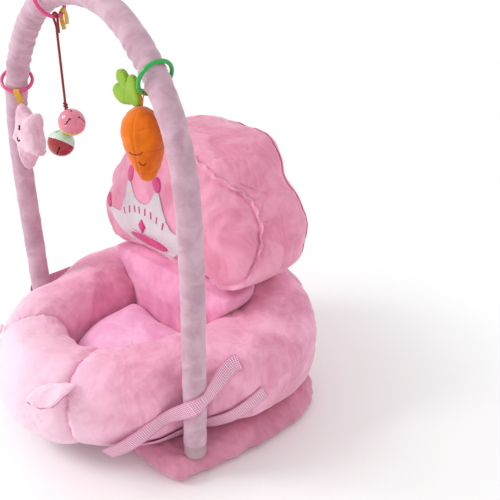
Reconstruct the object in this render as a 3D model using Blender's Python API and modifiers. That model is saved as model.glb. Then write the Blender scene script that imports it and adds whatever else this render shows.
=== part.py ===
"""Plush baby sit-up seat with a padded toy arch.

A round floor seat for a baby who is learning to sit: a flat base cushion, a plush
ring of front roll, two arms and back roll, a seat pad, a back panel and a lobed back
cushion. A foam-padded tube arch stands in webbing loops at its sides, and three toys
hang from plastic rings on it. Metres, +Z up, -Y is the front, origin on the floor.
"""
import math

import bmesh
import bpy
from mathutils import Matrix, Vector
from mathutils.bvhtree import BVHTree

TOUCH_GAP = 0.0003
SEAT_CENTRE_Y = 0.08

BASE_HALF_WIDTH = 0.293
BASE_HEIGHT = 0.040
BASE_FRONT_Y = -0.164
BASE_FRONT_DEPTH = 0.52
BASE_BACK_DEPTH = 0.194
BASE_FRONT_POWER = 2.0
BASE_BACK_POWER = 2.45
BASE_FOOT_INSET = 0.014
BASE_TOP_INSET = 0.020

RING_HALF_WIDTH = 0.290
RING_FRONT_DEPTH = 0.380
RING_BACK_DEPTH = 0.188
RING_FRONT_POWER = 1.8
RING_BACK_POWER = 2.4
ROLL_SQUARENESS = 2.5
CAVITY_HALF_WIDTH = 0.118
CAVITY_FRONT_DEPTH = 0.240
CAVITY_BACK_DEPTH = 0.055
CAVITY_POWER = 2.4
CAVITY_UNDERCUT = 0.020
CAVITY_FLARE = 0.026
CAVITY_CLEARANCE = 0.0022
FRONT_TOP = 0.207
ARM_TOP = 0.213
BACK_TOP = 0.250
FRONT_BOTTOM = 0.031
SEAM_ANGLE_FRONT = math.radians(18.5)
SEAM_ANGLE_BACK = math.radians(128)
LEG_DENT_WIDTH = math.radians(9)
LEG_DENT_GAP = 0.0055

PAD_EDGE_HEIGHT = 0.118
PAD_CROWN_HEIGHT = 0.156

PANEL_FRONT_Y = 0.036
PANEL_BULGE = 0.012

CUSHION_FRONT_HALF = [(0.120, 0.0), (0.168, 0.003), (0.202, 0.024), (0.217, 0.068), (0.184, 0.130),
                      (0.149, 0.176), (0.110, 0.214), (0.058, 0.244)]
CUSHION_BACK_HALF = [(0.122, 0.0), (0.170, 0.004), (0.205, 0.032), (0.220, 0.098), (0.197, 0.156),
                     (0.169, 0.182), (0.150, 0.220), (0.104, 0.258)]
CUSHION_FRONT_TOP = 0.255
CUSHION_BACK_TOP = 0.268
CUSHION_FACE_Y = 0.012
CUSHION_SEAM_Y = 0.048
CUSHION_BACK_SEAM_Y = 0.200
CUSHION_BACK_Y = 0.236
RUFFLE_HEIGHT = 0.007
RUFFLE_THICKNESS = 0.004
RUFFLE_STAND_OFF = 0.0008
RUFFLE_START_HEIGHT = 0.020

CROWN_CENTRE_X = -0.017
CROWN_HALF_WIDTH = 0.133
CROWN_BOTTOM_HALF_WIDTH = 0.062
CROWN_BOTTOM_Z = 0.288
CROWN_SIDE_TIP_Z = 0.335
CROWN_MIDDLE_TIP_Z = 0.410
CROWN_TIP_HALF = 0.007
CROWN_THICKNESS = 0.0016
GEM_HALF_WIDTH = 0.0105
GEM_HALF_HEIGHT = 0.0135
BAND_HALF_WIDTH = 0.054
BAND_HALF_HEIGHT = 0.0085
BAND_Z = 0.305
DRAPE_STEP = 0.018
DRAPE_STAND_OFF = 0.0009

EAR_LENGTH = 0.054
EAR_WIDTH = 0.056
EAR_LAYER = 0.0035
EAR_X = 0.105
EAR_SEAM_GAP = 0.0012
EAR_Z = 0.180
EAR_DROOP = math.radians(10)

ARCH_Y = -0.100
ARCH_HALF_SPAN = 0.2547
ARCH_FOOT_DRAW_IN = 0.0095
ARCH_LEG_TOP = 0.430
LEG_STRAIGHT_TOP = 0.072
ARCH_RISE = 0.309
ARCH_POWER = 2.14
COVER_RADIUS = 0.0190
COVER_THICKNESS = 0.0012
FOAM_CLEARANCE = 0.0006
TUBE_RADIUS = 0.0100
TUBE_WALL = 0.0015
CAP_HEIGHT = 0.024
CAP_WALL = 0.0020
CAP_FLOOR = 0.0030

WEBBING_WIDTH = 0.030
WEBBING_THICKNESS = 0.0014
STRAP_LIFT = 0.0023
STRAP_LEG_LIFT = 0.0024

COVER_BEVEL_RESOLUTION = 4
TUBE_BEVEL_RESOLUTION = 2

RING_WIRE = 0.0030
RING_RADIUS = 0.0262
CARROT_RING_TURN = math.radians(41.5)
BELL_RING_TURN = math.radians(105.5)
STAR_RING_TURN = math.radians(151)
CARROT_RING_NORMAL = (-0.866, 0.0, 0.5)
BELL_RING_NORMAL = (0.906, 0.137, 0.400)
STAR_RING_NORMAL = (0.555, -0.374, 0.743)
RING_SEAT_GAP = 0.0002

CARROT_TOP = (0.1685, -0.1097, 0.5996)
CARROT_LEAN = math.radians(-4.5)
CARROT_PROFILE = [(0.0, 0.0), (0.009, 0.0015), (0.019, 0.008), (0.0275, 0.018), (0.0318, 0.034),
                  (0.0295, 0.052), (0.0235, 0.070), (0.0150, 0.088), (0.0075, 0.100), (0.0, 0.106)]
LEAF_THICKNESS = 0.007
LEAF_OUTLINE = [(0.000, -0.0006), (-0.012, 0.003), (-0.030, 0.001), (-0.046, 0.006), (-0.052, 0.014),
                (-0.044, 0.020), (-0.029, 0.018), (-0.040, 0.031), (-0.036, 0.040), (-0.026, 0.038),
                (-0.016, 0.021), (-0.013, 0.033), (-0.005, 0.035), (0.001, 0.025), (0.005, 0.009)]
THREAD_RADIUS = 0.0008
STAR_CENTRE = (-0.1690, -0.1175, 0.4973)
STAR_RADIUS = 0.0616
STAR_VALLEY_SHARE = 0.56
STAR_HALF_THICKNESS = 0.019
STAR_ROLL = math.radians(31)
STAR_TILT = math.radians(-5.8)
STAR_YAW = math.radians(-5.3)
RIBBON_WIDTH = 0.010
RIBBON_THICKNESS = 0.0008
RIBBON_TAIL = 0.026
RIBBON_BELLY = 0.0008
CORD_RADIUS = 0.0020
CORD_END_Z = 0.562
STRAND_RADIUS = 0.0014
BELL_RADIUS = 0.0222
BELL_WALL = 0.0010
BELL_BALL_RADIUS = 0.0050
PINK_BELL_CENTRE = (-0.0420, -0.1010, 0.5400)
PINK_BELL_POLE = (0.55, -0.62, 0.56)
WHITE_BELL_BEARING = (-0.0230, -0.0110, -0.0360)
WHITE_BELL_POLE = (0.30, -0.05, 0.95)

PLUSH_PINK = (0.90, 0.52, 0.68)
PALE_PINK = (0.93, 0.66, 0.78)
DEEP_PINK = (0.75, 0.22, 0.38)
SATIN_WHITE = (0.80, 0.76, 0.77)
MAGENTA = (0.62, 0.04, 0.22)
SLEEVE_PINK = (0.66, 0.45, 0.52)
WEBBING_PINK = (0.72, 0.36, 0.52)
CAP_GREY = (0.60, 0.47, 0.50)
FOAM_WHITE = (0.85, 0.85, 0.82)
TUBE_WHITE = (0.80, 0.80, 0.80)
RING_GREEN = (0.02, 0.45, 0.10)
RING_PINK = (0.85, 0.06, 0.28)
CARROT_ORANGE = (0.85, 0.25, 0.02)
LEAF_GREEN = (0.25, 0.50, 0.01)
STAR_PINK = (0.85, 0.60, 0.68)
RIBBON_YELLOW = (0.80, 0.50, 0.02)
CORD_RED = (0.35, 0.02, 0.02)
BELL_PINK = (0.82, 0.28, 0.36)
BELL_YELLOW = (0.75, 0.60, 0.10)
BELL_WHITE = (0.70, 0.82, 0.78)
BELL_RED = (0.30, 0.01, 0.01)
STEEL = (0.60, 0.60, 0.62)


def clear_scene():
    for old in list(bpy.data.objects):
        bpy.data.objects.remove(old, do_unlink=True)


def material(name, colour, roughness, metallic=0.0):
    made = bpy.data.materials.new(name)
    made.use_nodes = True
    shader = made.node_tree.nodes["Principled BSDF"]
    shader.inputs["Base Color"].default_value = (*colour, 1.0)
    shader.inputs["Roughness"].default_value = roughness
    shader.inputs["Metallic"].default_value = metallic
    return made


clear_scene()
seat_collection = bpy.data.collections.new("baby_sit_up_seat")
bpy.context.scene.collection.children.link(seat_collection)


def add_part(name, data, colour, roughness, metallic=0.0):
    """Link a part whose data is in the seat's frame."""
    part = bpy.data.objects.new(name, data)
    data.materials.append(material(name, colour, roughness, metallic))
    seat_collection.objects.link(part)
    return part


def mesh_from(bm, name, smooth_angle=math.radians(40)):
    bmesh.ops.recalc_face_normals(bm, faces=bm.faces[:])
    if bm.calc_volume(signed=True) < 0:
        bmesh.ops.reverse_faces(bm, faces=bm.faces[:])
    mesh = bpy.data.meshes.new(name)
    bm.to_mesh(mesh)
    bm.free()
    mesh.shade_smooth()
    mesh.set_sharp_from_angle(angle=smooth_angle)
    return mesh


def loft(name, sections, closed=False):
    """Skin through like-numbered closed sections, with a flat cap at each end."""
    bm = bmesh.new()
    rings = [[bm.verts.new(point) for point in section] for section in sections]
    count = len(rings[0])
    pairs = list(zip(rings, rings[1:]))
    if closed:
        pairs.append((rings[-1], rings[0]))
    for lower, upper in pairs:
        for i in range(count):
            j = (i + 1) % count
            bm.faces.new((lower[i], lower[j], upper[j], upper[i]))
    if not closed:
        bm.faces.new(list(reversed(rings[0])))
        bm.faces.new(rings[-1])
    return mesh_from(bm, name)


def super_share(value, power):
    """Signed share that bends a circle's cosine or sine into a squarer outline."""
    return math.copysign(abs(value) ** (2.0 / power), value)


def polar_reach(angle, half_width, front, back, front_power, back_power):
    """Distance from the seat's centre to an egg-shaped outline, angle 0 at the front."""
    across = abs(math.sin(angle)) / half_width
    along = -math.cos(angle)
    depth, power = (front, front_power) if along < 0 else (back, back_power)
    return (across ** power + (abs(along) / depth) ** power) ** (-1.0 / power)


def polar_point(angle, reach, height):
    return Vector((math.sin(angle) * reach, SEAT_CENTRE_Y - math.cos(angle) * reach, height))


def blend_share(value, start, end):
    share = min(1.0, max(0.0, (value - start) / (end - start)))
    return share * share * (3.0 - 2.0 * share)


LEG_FOOT_X = ARCH_HALF_SPAN - ARCH_FOOT_DRAW_IN
LEG_ANGLE = math.atan2(LEG_FOOT_X, SEAT_CENTRE_Y - ARCH_Y)
LEG_REACH = math.hypot(LEG_FOOT_X, SEAT_CENTRE_Y - ARCH_Y)


def plain_outer_reach(angle):
    return polar_reach(angle, RING_HALF_WIDTH, RING_FRONT_DEPTH, RING_BACK_DEPTH,
                       RING_FRONT_POWER, RING_BACK_POWER)


def outer_reach(angle):
    """The ring's outer edge, pressed in where an arch leg is strapped against it."""
    off_leg = (abs(angle) - LEG_ANGLE) / LEG_DENT_WIDTH
    needed = LEG_REACH - COVER_RADIUS - WEBBING_THICKNESS - LEG_DENT_GAP
    dent = max(0.0, plain_outer_reach(LEG_ANGLE) - needed)
    return plain_outer_reach(angle) - dent * math.exp(-off_leg * off_leg)


def inner_reach(angle):
    return polar_reach(angle, CAVITY_HALF_WIDTH, CAVITY_FRONT_DEPTH, CAVITY_BACK_DEPTH,
                       CAVITY_POWER, CAVITY_POWER)


def roll_height(angle):
    turned = abs(angle)
    front = FRONT_TOP + (ARM_TOP - FRONT_TOP) * blend_share(turned, 0.2, 1.0)
    return front + (BACK_TOP - ARM_TOP) * blend_share(turned, 1.57, 2.25)


def roll_bottom(angle):
    over_base = BASE_HEIGHT + TOUCH_GAP
    return FRONT_BOTTOM + (over_base - FRONT_BOTTOM) * blend_share(abs(angle), 0.25, 0.52)


def roll_reach(angle, height, outer=True):
    """How far the roll's wall stands from the seat's centre at a height."""
    top, bottom = roll_height(angle), roll_bottom(angle)
    middle, half = (top + bottom) / 2, (top - bottom) / 2
    lift = min(1.0, abs(height - middle) / half)
    share = (1.0 - lift ** ROLL_SQUARENESS) ** (1.0 / ROLL_SQUARENESS)
    centre = (outer_reach(angle) + inner_reach(angle)) / 2
    half_width = (outer_reach(angle) - inner_reach(angle)) / 2
    return centre + half_width * share * (1 if outer else -1)


def roll_section(angle, count=22):
    top, bottom = roll_height(angle), roll_bottom(angle)
    middle, half = (top + bottom) / 2, (top - bottom) / 2
    centre = (outer_reach(angle) + inner_reach(angle)) / 2
    half_width = (outer_reach(angle) - inner_reach(angle)) / 2
    section = []
    for i in range(count):
        turn = 2 * math.pi * (i + 0.5) / count
        reach = centre + half_width * super_share(math.cos(turn), ROLL_SQUARENESS)
        height = middle + half * super_share(math.sin(turn), ROLL_SQUARENESS)
        section.append(polar_point(angle, reach, height))
    return section


def add_roll(name, start, end, step=math.radians(6)):
    trim = TOUCH_GAP / (2 * inner_reach(start)), TOUCH_GAP / (2 * inner_reach(end))
    start, end = start + trim[0], end - trim[1]
    count = max(2, round((end - start) / step))
    angles = [start + (end - start) * i / count for i in range(count + 1)]
    mesh = loft(name, [roll_section(angle) for angle in angles])
    return add_part(name, mesh, PLUSH_PINK, 0.95)


def flat_outline(reach_at, height, count=48, inset=0.0):
    outline = []
    for i in range(count):
        angle = 2 * math.pi * i / count
        outline.append(polar_point(angle, reach_at(angle) - inset, height))
    return outline


def base_reach(angle):
    """The base cushion is D-shaped: straight across the front, round at the back."""
    reach = polar_reach(angle, BASE_HALF_WIDTH, BASE_FRONT_DEPTH, BASE_BACK_DEPTH,
                        BASE_FRONT_POWER, BASE_BACK_POWER)
    forward = math.cos(angle)
    if forward > 0:
        reach = min(reach, (SEAT_CENTRE_Y - BASE_FRONT_Y) / forward)
    return reach


def add_base():
    stages = [(0.0, BASE_FOOT_INSET), (0.18, BASE_FOOT_INSET * 0.3), (0.42, 0.0),
              (0.68, BASE_TOP_INSET * 0.15), (0.88, BASE_TOP_INSET * 0.45), (1.0, BASE_TOP_INSET)]
    sections = [flat_outline(base_reach, BASE_HEIGHT * share, 60, inset)
                for share, inset in stages]
    return add_part("base_cushion", loft("base_cushion", sections), PLUSH_PINK, 0.95)


def cavity_reach(angle, height):
    """The hollow inside the roll at a height, less a small clearance."""
    turned = (angle + math.pi) % (2 * math.pi) - math.pi
    flare = CAVITY_FLARE * blend_share(height, ARM_TOP - 0.03, ARM_TOP + 0.02)
    limit = inner_reach(turned) + CAVITY_UNDERCUT + flare
    return min(roll_reach(turned, height, outer=False), limit) - CAVITY_CLEARANCE


def wall_angle(height, y):
    """The angle at which the hollow's wall crosses a straight line at y."""
    start, end = math.radians(20), math.radians(170)
    for _ in range(40):
        middle = (start + end) / 2
        if polar_point(middle, cavity_reach(middle, height), height).y < y:
            start = middle
        else:
            end = middle
    return (start + end) / 2


def cavity_slice(height, y, front, arc_count=26, chord_count=6):
    """Outline of the hollow in front of, or behind, a straight line across it at y."""
    turn = wall_angle(height, y)
    first, sweep = (-turn, 2 * turn) if front else (turn, 2 * (math.pi - turn))
    angles = [first + sweep * i / arc_count for i in range(arc_count + 1)]
    outline = [polar_point(angle, cavity_reach(angle, height), height) for angle in angles]
    start, end = outline[-1], outline[0]
    for i in range(1, chord_count):
        outline.append(start.lerp(end, i / chord_count))
    return outline


def add_pad():
    """Seat pad: straight sides against the roll and a crowned top."""
    low = BASE_HEIGHT + TOUCH_GAP
    back = PANEL_FRONT_Y - TOUCH_GAP
    sections = []
    for share in (0.0, 0.2, 0.45, 0.7, 0.88, 1.0):
        height = low + (PAD_EDGE_HEIGHT - low) * share
        sections.append(cavity_slice(height, back, front=True))
    rim = sections[-1]
    centre_y = (rim[0].y + SEAT_CENTRE_Y - CAVITY_FRONT_DEPTH) / 2
    for turn in (math.radians(degrees) for degrees in (25, 45, 62, 78)):
        shrink = math.cos(turn)
        height = PAD_EDGE_HEIGHT + (PAD_CROWN_HEIGHT - PAD_EDGE_HEIGHT) * math.sin(turn)
        sections.append([Vector((point.x * shrink, centre_y + (point.y - centre_y) * shrink,
                                 height)) for point in rim])
    return add_part("seat_pad", loft("seat_pad", sections), PLUSH_PINK, 0.95)


def add_back_panel():
    """Puffed lower back panel between the arms, bulging a little over the pad."""
    low = BASE_HEIGHT + TOUCH_GAP
    sections = []
    for share in (0.0, 0.3, 0.5, 0.6, 0.7, 0.77, 0.83, 0.89, 0.95, 1.0):
        height = low + (BACK_TOP - low) * share
        outline = cavity_slice(height, PANEL_FRONT_Y, front=False)
        above_pad = blend_share(height, PAD_CROWN_HEIGHT, PAD_CROWN_HEIGHT + 0.03)
        over = PANEL_BULGE * above_pad * (1.0 - 0.7 * blend_share(share, 0.85, 1.0))
        half = max(point.x for point in outline)
        section = []
        for point in outline:
            across = 1.0 - min(1.0, abs(point.x) / half) ** 2
            depth = 1.0 - blend_share(point.y, PANEL_FRONT_Y, PANEL_FRONT_Y + 0.03)
            section.append(Vector((point.x, point.y - over * across * depth, height)))
        sections.append(section)
    return add_part("back_panel", loft("back_panel", sections), PLUSH_PINK, 0.95)


def smooth_loop(points, samples):
    """Closed smooth curve through hand-set points."""
    curve = []
    count = len(points)
    for i in range(count):
        before, start, end, after = (points[(i + k - 1) % count] for k in range(4))
        for j in range(samples):
            t = j / samples
            curve.append(0.5 * (2 * start + (end - before) * t
                                + (2 * before - 5 * start + 4 * end - after) * t * t
                                + (3 * start - before - 3 * end + after) * t * t * t))
    return curve


def cushion_section(y, scale, depth_share):
    """Lobed outline of the back cushion, between its front seam (0) and back seam (1)."""
    half = [(0.0, 0.0)]
    for front, back in zip(CUSHION_FRONT_HALF, CUSHION_BACK_HALF):
        half.append((front[0] + (back[0] - front[0]) * depth_share,
                     front[1] + (back[1] - front[1]) * depth_share))
    top = CUSHION_FRONT_TOP + (CUSHION_BACK_TOP - CUSHION_FRONT_TOP) * depth_share
    half.append((0.0, top))
    right = [Vector((x, y, z)) for x, z in half]
    left = [Vector((-point.x, y, point.z)) for point in reversed(right[1:-1])]
    middle = Vector((0.0, y, top * 0.47))
    bottom = BACK_TOP + TOUCH_GAP
    section = []
    for point in smooth_loop(right + left, 3):
        moved = middle + (point - middle) * scale
        section.append(Vector((moved.x, y, bottom + max(0.0, moved.z))))
    return section


def cushion_stages():
    face = CUSHION_SEAM_Y - CUSHION_FACE_Y
    side = CUSHION_BACK_SEAM_Y - CUSHION_SEAM_Y
    rear = CUSHION_BACK_Y - CUSHION_BACK_SEAM_Y
    return [(CUSHION_FACE_Y, 0.32, 0.0), (CUSHION_FACE_Y + face * 0.10, 0.55, 0.0),
            (CUSHION_FACE_Y + face * 0.32, 0.78, 0.0), (CUSHION_FACE_Y + face * 0.66, 0.93, 0.0),
            (CUSHION_SEAM_Y, 1.0, 0.0), (CUSHION_SEAM_Y + side * 0.3, 1.02, 0.3),
            (CUSHION_SEAM_Y + side * 0.7, 1.02, 0.7), (CUSHION_BACK_SEAM_Y, 0.99, 1.0),
            (CUSHION_BACK_SEAM_Y + rear * 0.6, 0.86, 1.0), (CUSHION_BACK_Y, 0.58, 1.0)]


def add_back_cushion():
    sections = [cushion_section(*stage) for stage in cushion_stages()]
    return add_part("back_cushion", loft("back_cushion", sections), PLUSH_PINK, 0.95)


def add_seam_ruffle():
    """Gathered seam allowance standing up round the top and sides of the front panel."""
    outline = cushion_section(CUSHION_SEAM_Y, 1.0, 0.0)
    count = len(outline)
    start_z = BACK_TOP + RUFFLE_START_HEIGHT
    half = Vector((0.0, RUFFLE_THICKNESS / 2, 0.0))
    sections = []
    for i, point in enumerate(outline):
        if point.z < start_z:
            continue
        along = (outline[(i + 1) % count] - outline[i - 1]).normalized()
        outward = Vector((along.z, 0.0, -along.x))
        low = point + outward * RUFFLE_STAND_OFF
        high = low + outward * RUFFLE_HEIGHT
        sections.append([low - half, low + half, high + half, high - half])
    return add_part("seam_ruffle", loft("seam_ruffle", sections), PALE_PINK, 0.95)


def outline_mesh(name, outlines):
    """Fill flat outlines and return them as a mesh in the XY plane."""
    curve = bpy.data.curves.new(name, "CURVE")
    curve.dimensions = "2D"
    curve.fill_mode = "BOTH"
    for outline in outlines:
        spline = curve.splines.new("POLY")
        spline.points.add(len(outline) - 1)
        for slot, (x, z) in zip(spline.points, outline):
            slot.co = (x, z, 0.0, 1.0)
        spline.use_cyclic_u = True
    holder = bpy.data.objects.new(name, curve)
    mesh = bpy.data.meshes.new_from_object(holder)
    bpy.data.objects.remove(holder)
    bpy.data.curves.remove(curve)
    return mesh


def draped_part(name, outlines, cushion_tree, stand_off, colour, roughness):
    """Cloth cut to an outline in the XZ plane and laid on the cushion's domed face."""
    flat = outline_mesh(name, outlines)
    bm = bmesh.new()
    bm.from_mesh(flat)
    bpy.data.meshes.remove(flat)
    bmesh.ops.remove_doubles(bm, verts=bm.verts, dist=1e-6)
    for axis in (0, 1):
        low = min(vert.co[axis] for vert in bm.verts)
        high = max(vert.co[axis] for vert in bm.verts)
        normal = Vector((1.0, 0.0, 0.0)) if axis == 0 else Vector((0.0, 1.0, 0.0))
        for i in range(1, math.ceil((high - low) / DRAPE_STEP)):
            bmesh.ops.bisect_plane(bm, geom=bm.verts[:] + bm.edges[:] + bm.faces[:], dist=1e-6,
                                   plane_co=normal * (low + DRAPE_STEP * i), plane_no=normal)
    bmesh.ops.triangulate(bm, faces=bm.faces[:])
    for vert in bm.verts:
        start = Vector((vert.co.x, -1.0, vert.co.y))
        hit, normal, _, _ = cushion_tree.ray_cast(start, Vector((0.0, 1.0, 0.0)))
        vert.co = hit + normal * stand_off
    if sum(face.normal.y for face in bm.faces) > 0:
        bmesh.ops.reverse_faces(bm, faces=bm.faces[:])
    mesh = bpy.data.meshes.new(name)
    bm.to_mesh(mesh)
    bm.free()
    part = add_part(name, mesh, colour, roughness)
    solid = part.modifiers.new("cloth", "SOLIDIFY")
    solid.thickness = CROWN_THICKNESS
    solid.offset = 1.0
    return part


def arc_points(centre, radii, start, end, count):
    turns = [start + (end - start) * i / count for i in range(count + 1)]
    return [(centre[0] + radii[0] * math.cos(turn), centre[1] + radii[1] * math.sin(turn))
            for turn in turns]


def crown_tips():
    spacing = 2 * CROWN_HALF_WIDTH / 3
    return [(CROWN_CENTRE_X - CROWN_HALF_WIDTH + spacing * i,
             CROWN_SIDE_TIP_Z if i in (0, 3) else CROWN_MIDDLE_TIP_Z) for i in range(4)]


def crown_outline():
    """Four slim points with round valleys between them, over a narrower foot."""
    tips = crown_tips()
    points = [(CROWN_CENTRE_X - CROWN_BOTTOM_HALF_WIDTH, CROWN_BOTTOM_Z)]
    for i, (x, z) in enumerate(tips):
        points += [(x - CROWN_TIP_HALF, z), (x + CROWN_TIP_HALF, z)]
        if i < 3:
            next_x, next_z = tips[i + 1]
            middle = (x + next_x) / 2
            half = (next_x - x) / 2 - CROWN_TIP_HALF
            floor = (min(z, next_z) + CROWN_SIDE_TIP_Z) / 2
            arc = arc_points((middle, floor), (half * 0.8, (floor - CROWN_BOTTOM_Z) * 0.28),
                             math.pi, 2 * math.pi, 8)
            points += arc
    points.append((CROWN_CENTRE_X + CROWN_BOTTOM_HALF_WIDTH, CROWN_BOTTOM_Z))
    foot = arc_points((CROWN_CENTRE_X, CROWN_BOTTOM_Z), (CROWN_BOTTOM_HALF_WIDTH, 0.006),
                      0.0, -math.pi, 8)
    return points + foot[1:-1]


def gem_outlines():
    outlines = []
    for x, z in crown_tips():
        centre = (x, z + GEM_HALF_HEIGHT + 0.0015)
        outlines.append(arc_points(centre, (GEM_HALF_WIDTH, GEM_HALF_HEIGHT),
                                   0.0, 2 * math.pi, 14)[:-1])
    return outlines


def band_outlines():
    band = arc_points((CROWN_CENTRE_X, BAND_Z), (BAND_HALF_WIDTH, BAND_HALF_HEIGHT),
                      0.0, 2 * math.pi, 24)[:-1]
    diamond = [(CROWN_CENTRE_X - 0.010, BAND_Z + 0.032), (CROWN_CENTRE_X, BAND_Z + 0.019),
               (CROWN_CENTRE_X + 0.010, BAND_Z + 0.032), (CROWN_CENTRE_X, BAND_Z + 0.045)]
    return [band, diamond]


def add_crown(back_cushion):
    bm = bmesh.new()
    bm.from_mesh(back_cushion.data)
    tree = BVHTree.FromBMesh(bm)
    bm.free()
    single = DRAPE_STAND_OFF
    double = DRAPE_STAND_OFF + CROWN_THICKNESS + 2 * TOUCH_GAP
    draped_part("crown_applique", [crown_outline()], tree, single, SATIN_WHITE, 0.6)
    for number, outline in enumerate(gem_outlines(), start=1):
        draped_part(f"crown_gem_{number}", [outline], tree, single, MAGENTA, 0.7)
    band, diamond = band_outlines()
    draped_part("crown_band", [band], tree, double, MAGENTA, 0.7)
    draped_part("crown_diamond", [diamond], tree, double, MAGENTA, 0.7)


def roll_frame(angle, height, lift):
    """A point standing off the ring's outer skin, with the skin's outward normal."""
    step = 1e-4
    here = polar_point(angle, roll_reach(angle, height), height)
    beside = polar_point(angle + step, roll_reach(angle + step, height), height)
    above = polar_point(angle, roll_reach(angle, height + step), height + step)
    normal = (beside - here).cross(above - here).normalized()
    if normal.dot(Vector((math.sin(angle), -math.cos(angle), 0.0))) < 0:
        normal = -normal
    return here + normal * lift, normal


def leg_frame(turn, height, lift):
    """A point standing off an arch leg, with its outward normal."""
    normal = Vector((math.cos(turn), math.sin(turn), 0.0))
    return Vector((leg_x(height), ARCH_Y, height)) + normal * (COVER_RADIUS + lift), normal


def eased_twist(path, step=math.radians(7)):
    """Add in-between pairs wherever a strip turns its face quickly."""
    eased = [path[0]]
    for (start, first), (end, last) in zip(path, path[1:]):
        count = max(1, math.ceil(first.angle(last) / step))
        for i in range(1, count + 1):
            eased.append((start.lerp(end, i / count), first.lerp(last, i / count).normalized()))
    return eased


def ribbon_sections(path, width, thickness, side):
    """Flat strip through (centre, normal) pairs, mirrored to one side of the seat."""
    mirror = Vector((side, 1.0, 1.0))
    sections = []
    for i, (centre, normal) in enumerate(path):
        before = path[max(0, i - 1)][0]
        after = path[min(len(path) - 1, i + 1)][0]
        along = (after - before).normalized()
        face = (normal - along * normal.dot(along)).normalized()
        across = along.cross(face)
        corners = [centre + across * (width / 2 * a) + face * (thickness / 2 * b)
                   for a, b in ((-1, -1), (1, -1), (1, 1), (-1, 1))]
        sections.append([corner * mirror for corner in corners])
    return sections


def add_straps(side, side_name):
    """Webbing loops: the upper one passes over the arch leg, the lower one behind it."""
    upper = [roll_frame(math.radians(70), 0.186, STRAP_LIFT),
             roll_frame(math.radians(66), 0.180, STRAP_LIFT)]
    for degrees, height in ((16, 0.159), (-5, 0.156), (-26, 0.152), (-47, 0.148), (-66, 0.143)):
        upper.append(leg_frame(math.radians(degrees), height, STRAP_LEG_LIFT))
    for degrees, height in ((44, 0.112), (38, 0.092), (33, 0.074), (28, 0.058)):
        upper.append(roll_frame(math.radians(degrees), height, STRAP_LIFT))
    lower = []
    for degrees, height in ((78, 0.124), (72, 0.108), (66, 0.092), (60, 0.078), (54, 0.068),
                            (48, 0.062), (42, 0.058), (36, 0.055)):
        lower.append(roll_frame(math.radians(degrees), height, STRAP_LIFT))
    for level, path in (("upper", upper), ("lower", lower)):
        name = f"{side_name}_{level}_strap"
        sections = ribbon_sections(eased_twist(path), WEBBING_WIDTH, WEBBING_THICKNESS, side)
        add_part(name, loft(name, sections), WEBBING_PINK, 0.8)


def skin_y(x, height):
    """Front face of the ring at a sideways position and height."""
    angle = 0.0
    for _ in range(12):
        angle = math.asin(x / roll_reach(angle, height))
    return polar_point(angle, roll_reach(angle, height), height).y


def add_ear(side, side_name):
    """A plush flap with a lining, sewn to the ring's shoulder and drooping forward."""
    root = Vector((EAR_X, skin_y(EAR_X, EAR_Z), EAR_Z))
    forward = Vector((0.0, -math.cos(EAR_DROOP), -math.sin(EAR_DROOP)))
    low = Vector((0.0, math.sin(EAR_DROOP), -math.cos(EAR_DROOP))) * EAR_LAYER
    width_shares = ((0.0, 0.80), (0.42, 1.0), (0.62, 1.0), (0.82, 0.72), (1.0, 0.30))
    for layer, name, colour in ((0, f"{side_name}_ear", PLUSH_PINK),
                                (1, f"{side_name}_ear_lining", DEEP_PINK)):
        sections = []
        for share, width in width_shares:
            top = root + forward * EAR_LENGTH * share
            top = top + low * layer * (1.0 + TOUCH_GAP / EAR_LAYER)
            half = Vector((EAR_WIDTH / 2 * width - 0.002 * layer, 0.0, 0.0))
            corners = [top - half, top + half, top + half + low, top - half + low]
            if share == 0.0:
                for corner in corners * 3:
                    target = skin_y(corner.x, corner.z) - EAR_SEAM_GAP * (1 + layer)
                    corner += forward * ((target - corner.y) / forward.y)
            sections.append([Vector((side * point.x, point.y, point.z)) for point in corners])
        add_part(name, loft(name, sections), colour, 0.95)


def leg_x(height):
    """The legs draw in a little from the bow down to a short straight foot."""
    share = min(1.0, max(0.0, (height - LEG_STRAIGHT_TOP) / (ARCH_LEG_TOP - LEG_STRAIGHT_TOP)))
    return ARCH_HALF_SPAN - ARCH_FOOT_DRAW_IN * (1.0 - share) ** 2


def arch_point(turn):
    """The bow of the arch, a rounded square; turn runs from the right leg to the left."""
    return Vector((ARCH_HALF_SPAN * super_share(math.cos(turn), ARCH_POWER), ARCH_Y,
                   ARCH_LEG_TOP + ARCH_RISE * abs(math.sin(turn)) ** (2.0 / ARCH_POWER)))


def arch_path(foot_z):
    """Right foot, right leg, bow, left leg, left foot."""
    leg_span = ARCH_LEG_TOP - LEG_STRAIGHT_TOP
    leg_heights = [foot_z] + [LEG_STRAIGHT_TOP + leg_span * i / 4 for i in range(4)]
    right = [Vector((leg_x(height), ARCH_Y, height)) for height in leg_heights]
    bow = [arch_point(math.pi * i / 20) for i in range(21)]
    left = [Vector((-point.x, point.y, point.z)) for point in reversed(right)]
    return right + bow + left


def tube_data(name, points, radius, resolution, cyclic=False, caps=True):
    curve = bpy.data.curves.new(name, "CURVE")
    curve.dimensions = "3D"
    curve.bevel_depth = radius
    curve.bevel_resolution = resolution
    curve.use_fill_caps = caps and not cyclic
    spline = curve.splines.new("POLY")
    spline.points.add(len(points) - 1)
    for slot, point in zip(spline.points, points):
        slot.co = (*point, 1.0)
    spline.use_cyclic_u = cyclic
    return curve


def add_hollow_tube(name, foot_z, radius, wall, resolution, colour, roughness):
    data = tube_data(name, arch_path(foot_z), radius, resolution, caps=False)
    part = add_part(name, data, colour, roughness)
    shell = part.modifiers.new("wall", "SOLIDIFY")
    shell.thickness = wall
    shell.offset = -1.0
    return part


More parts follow.
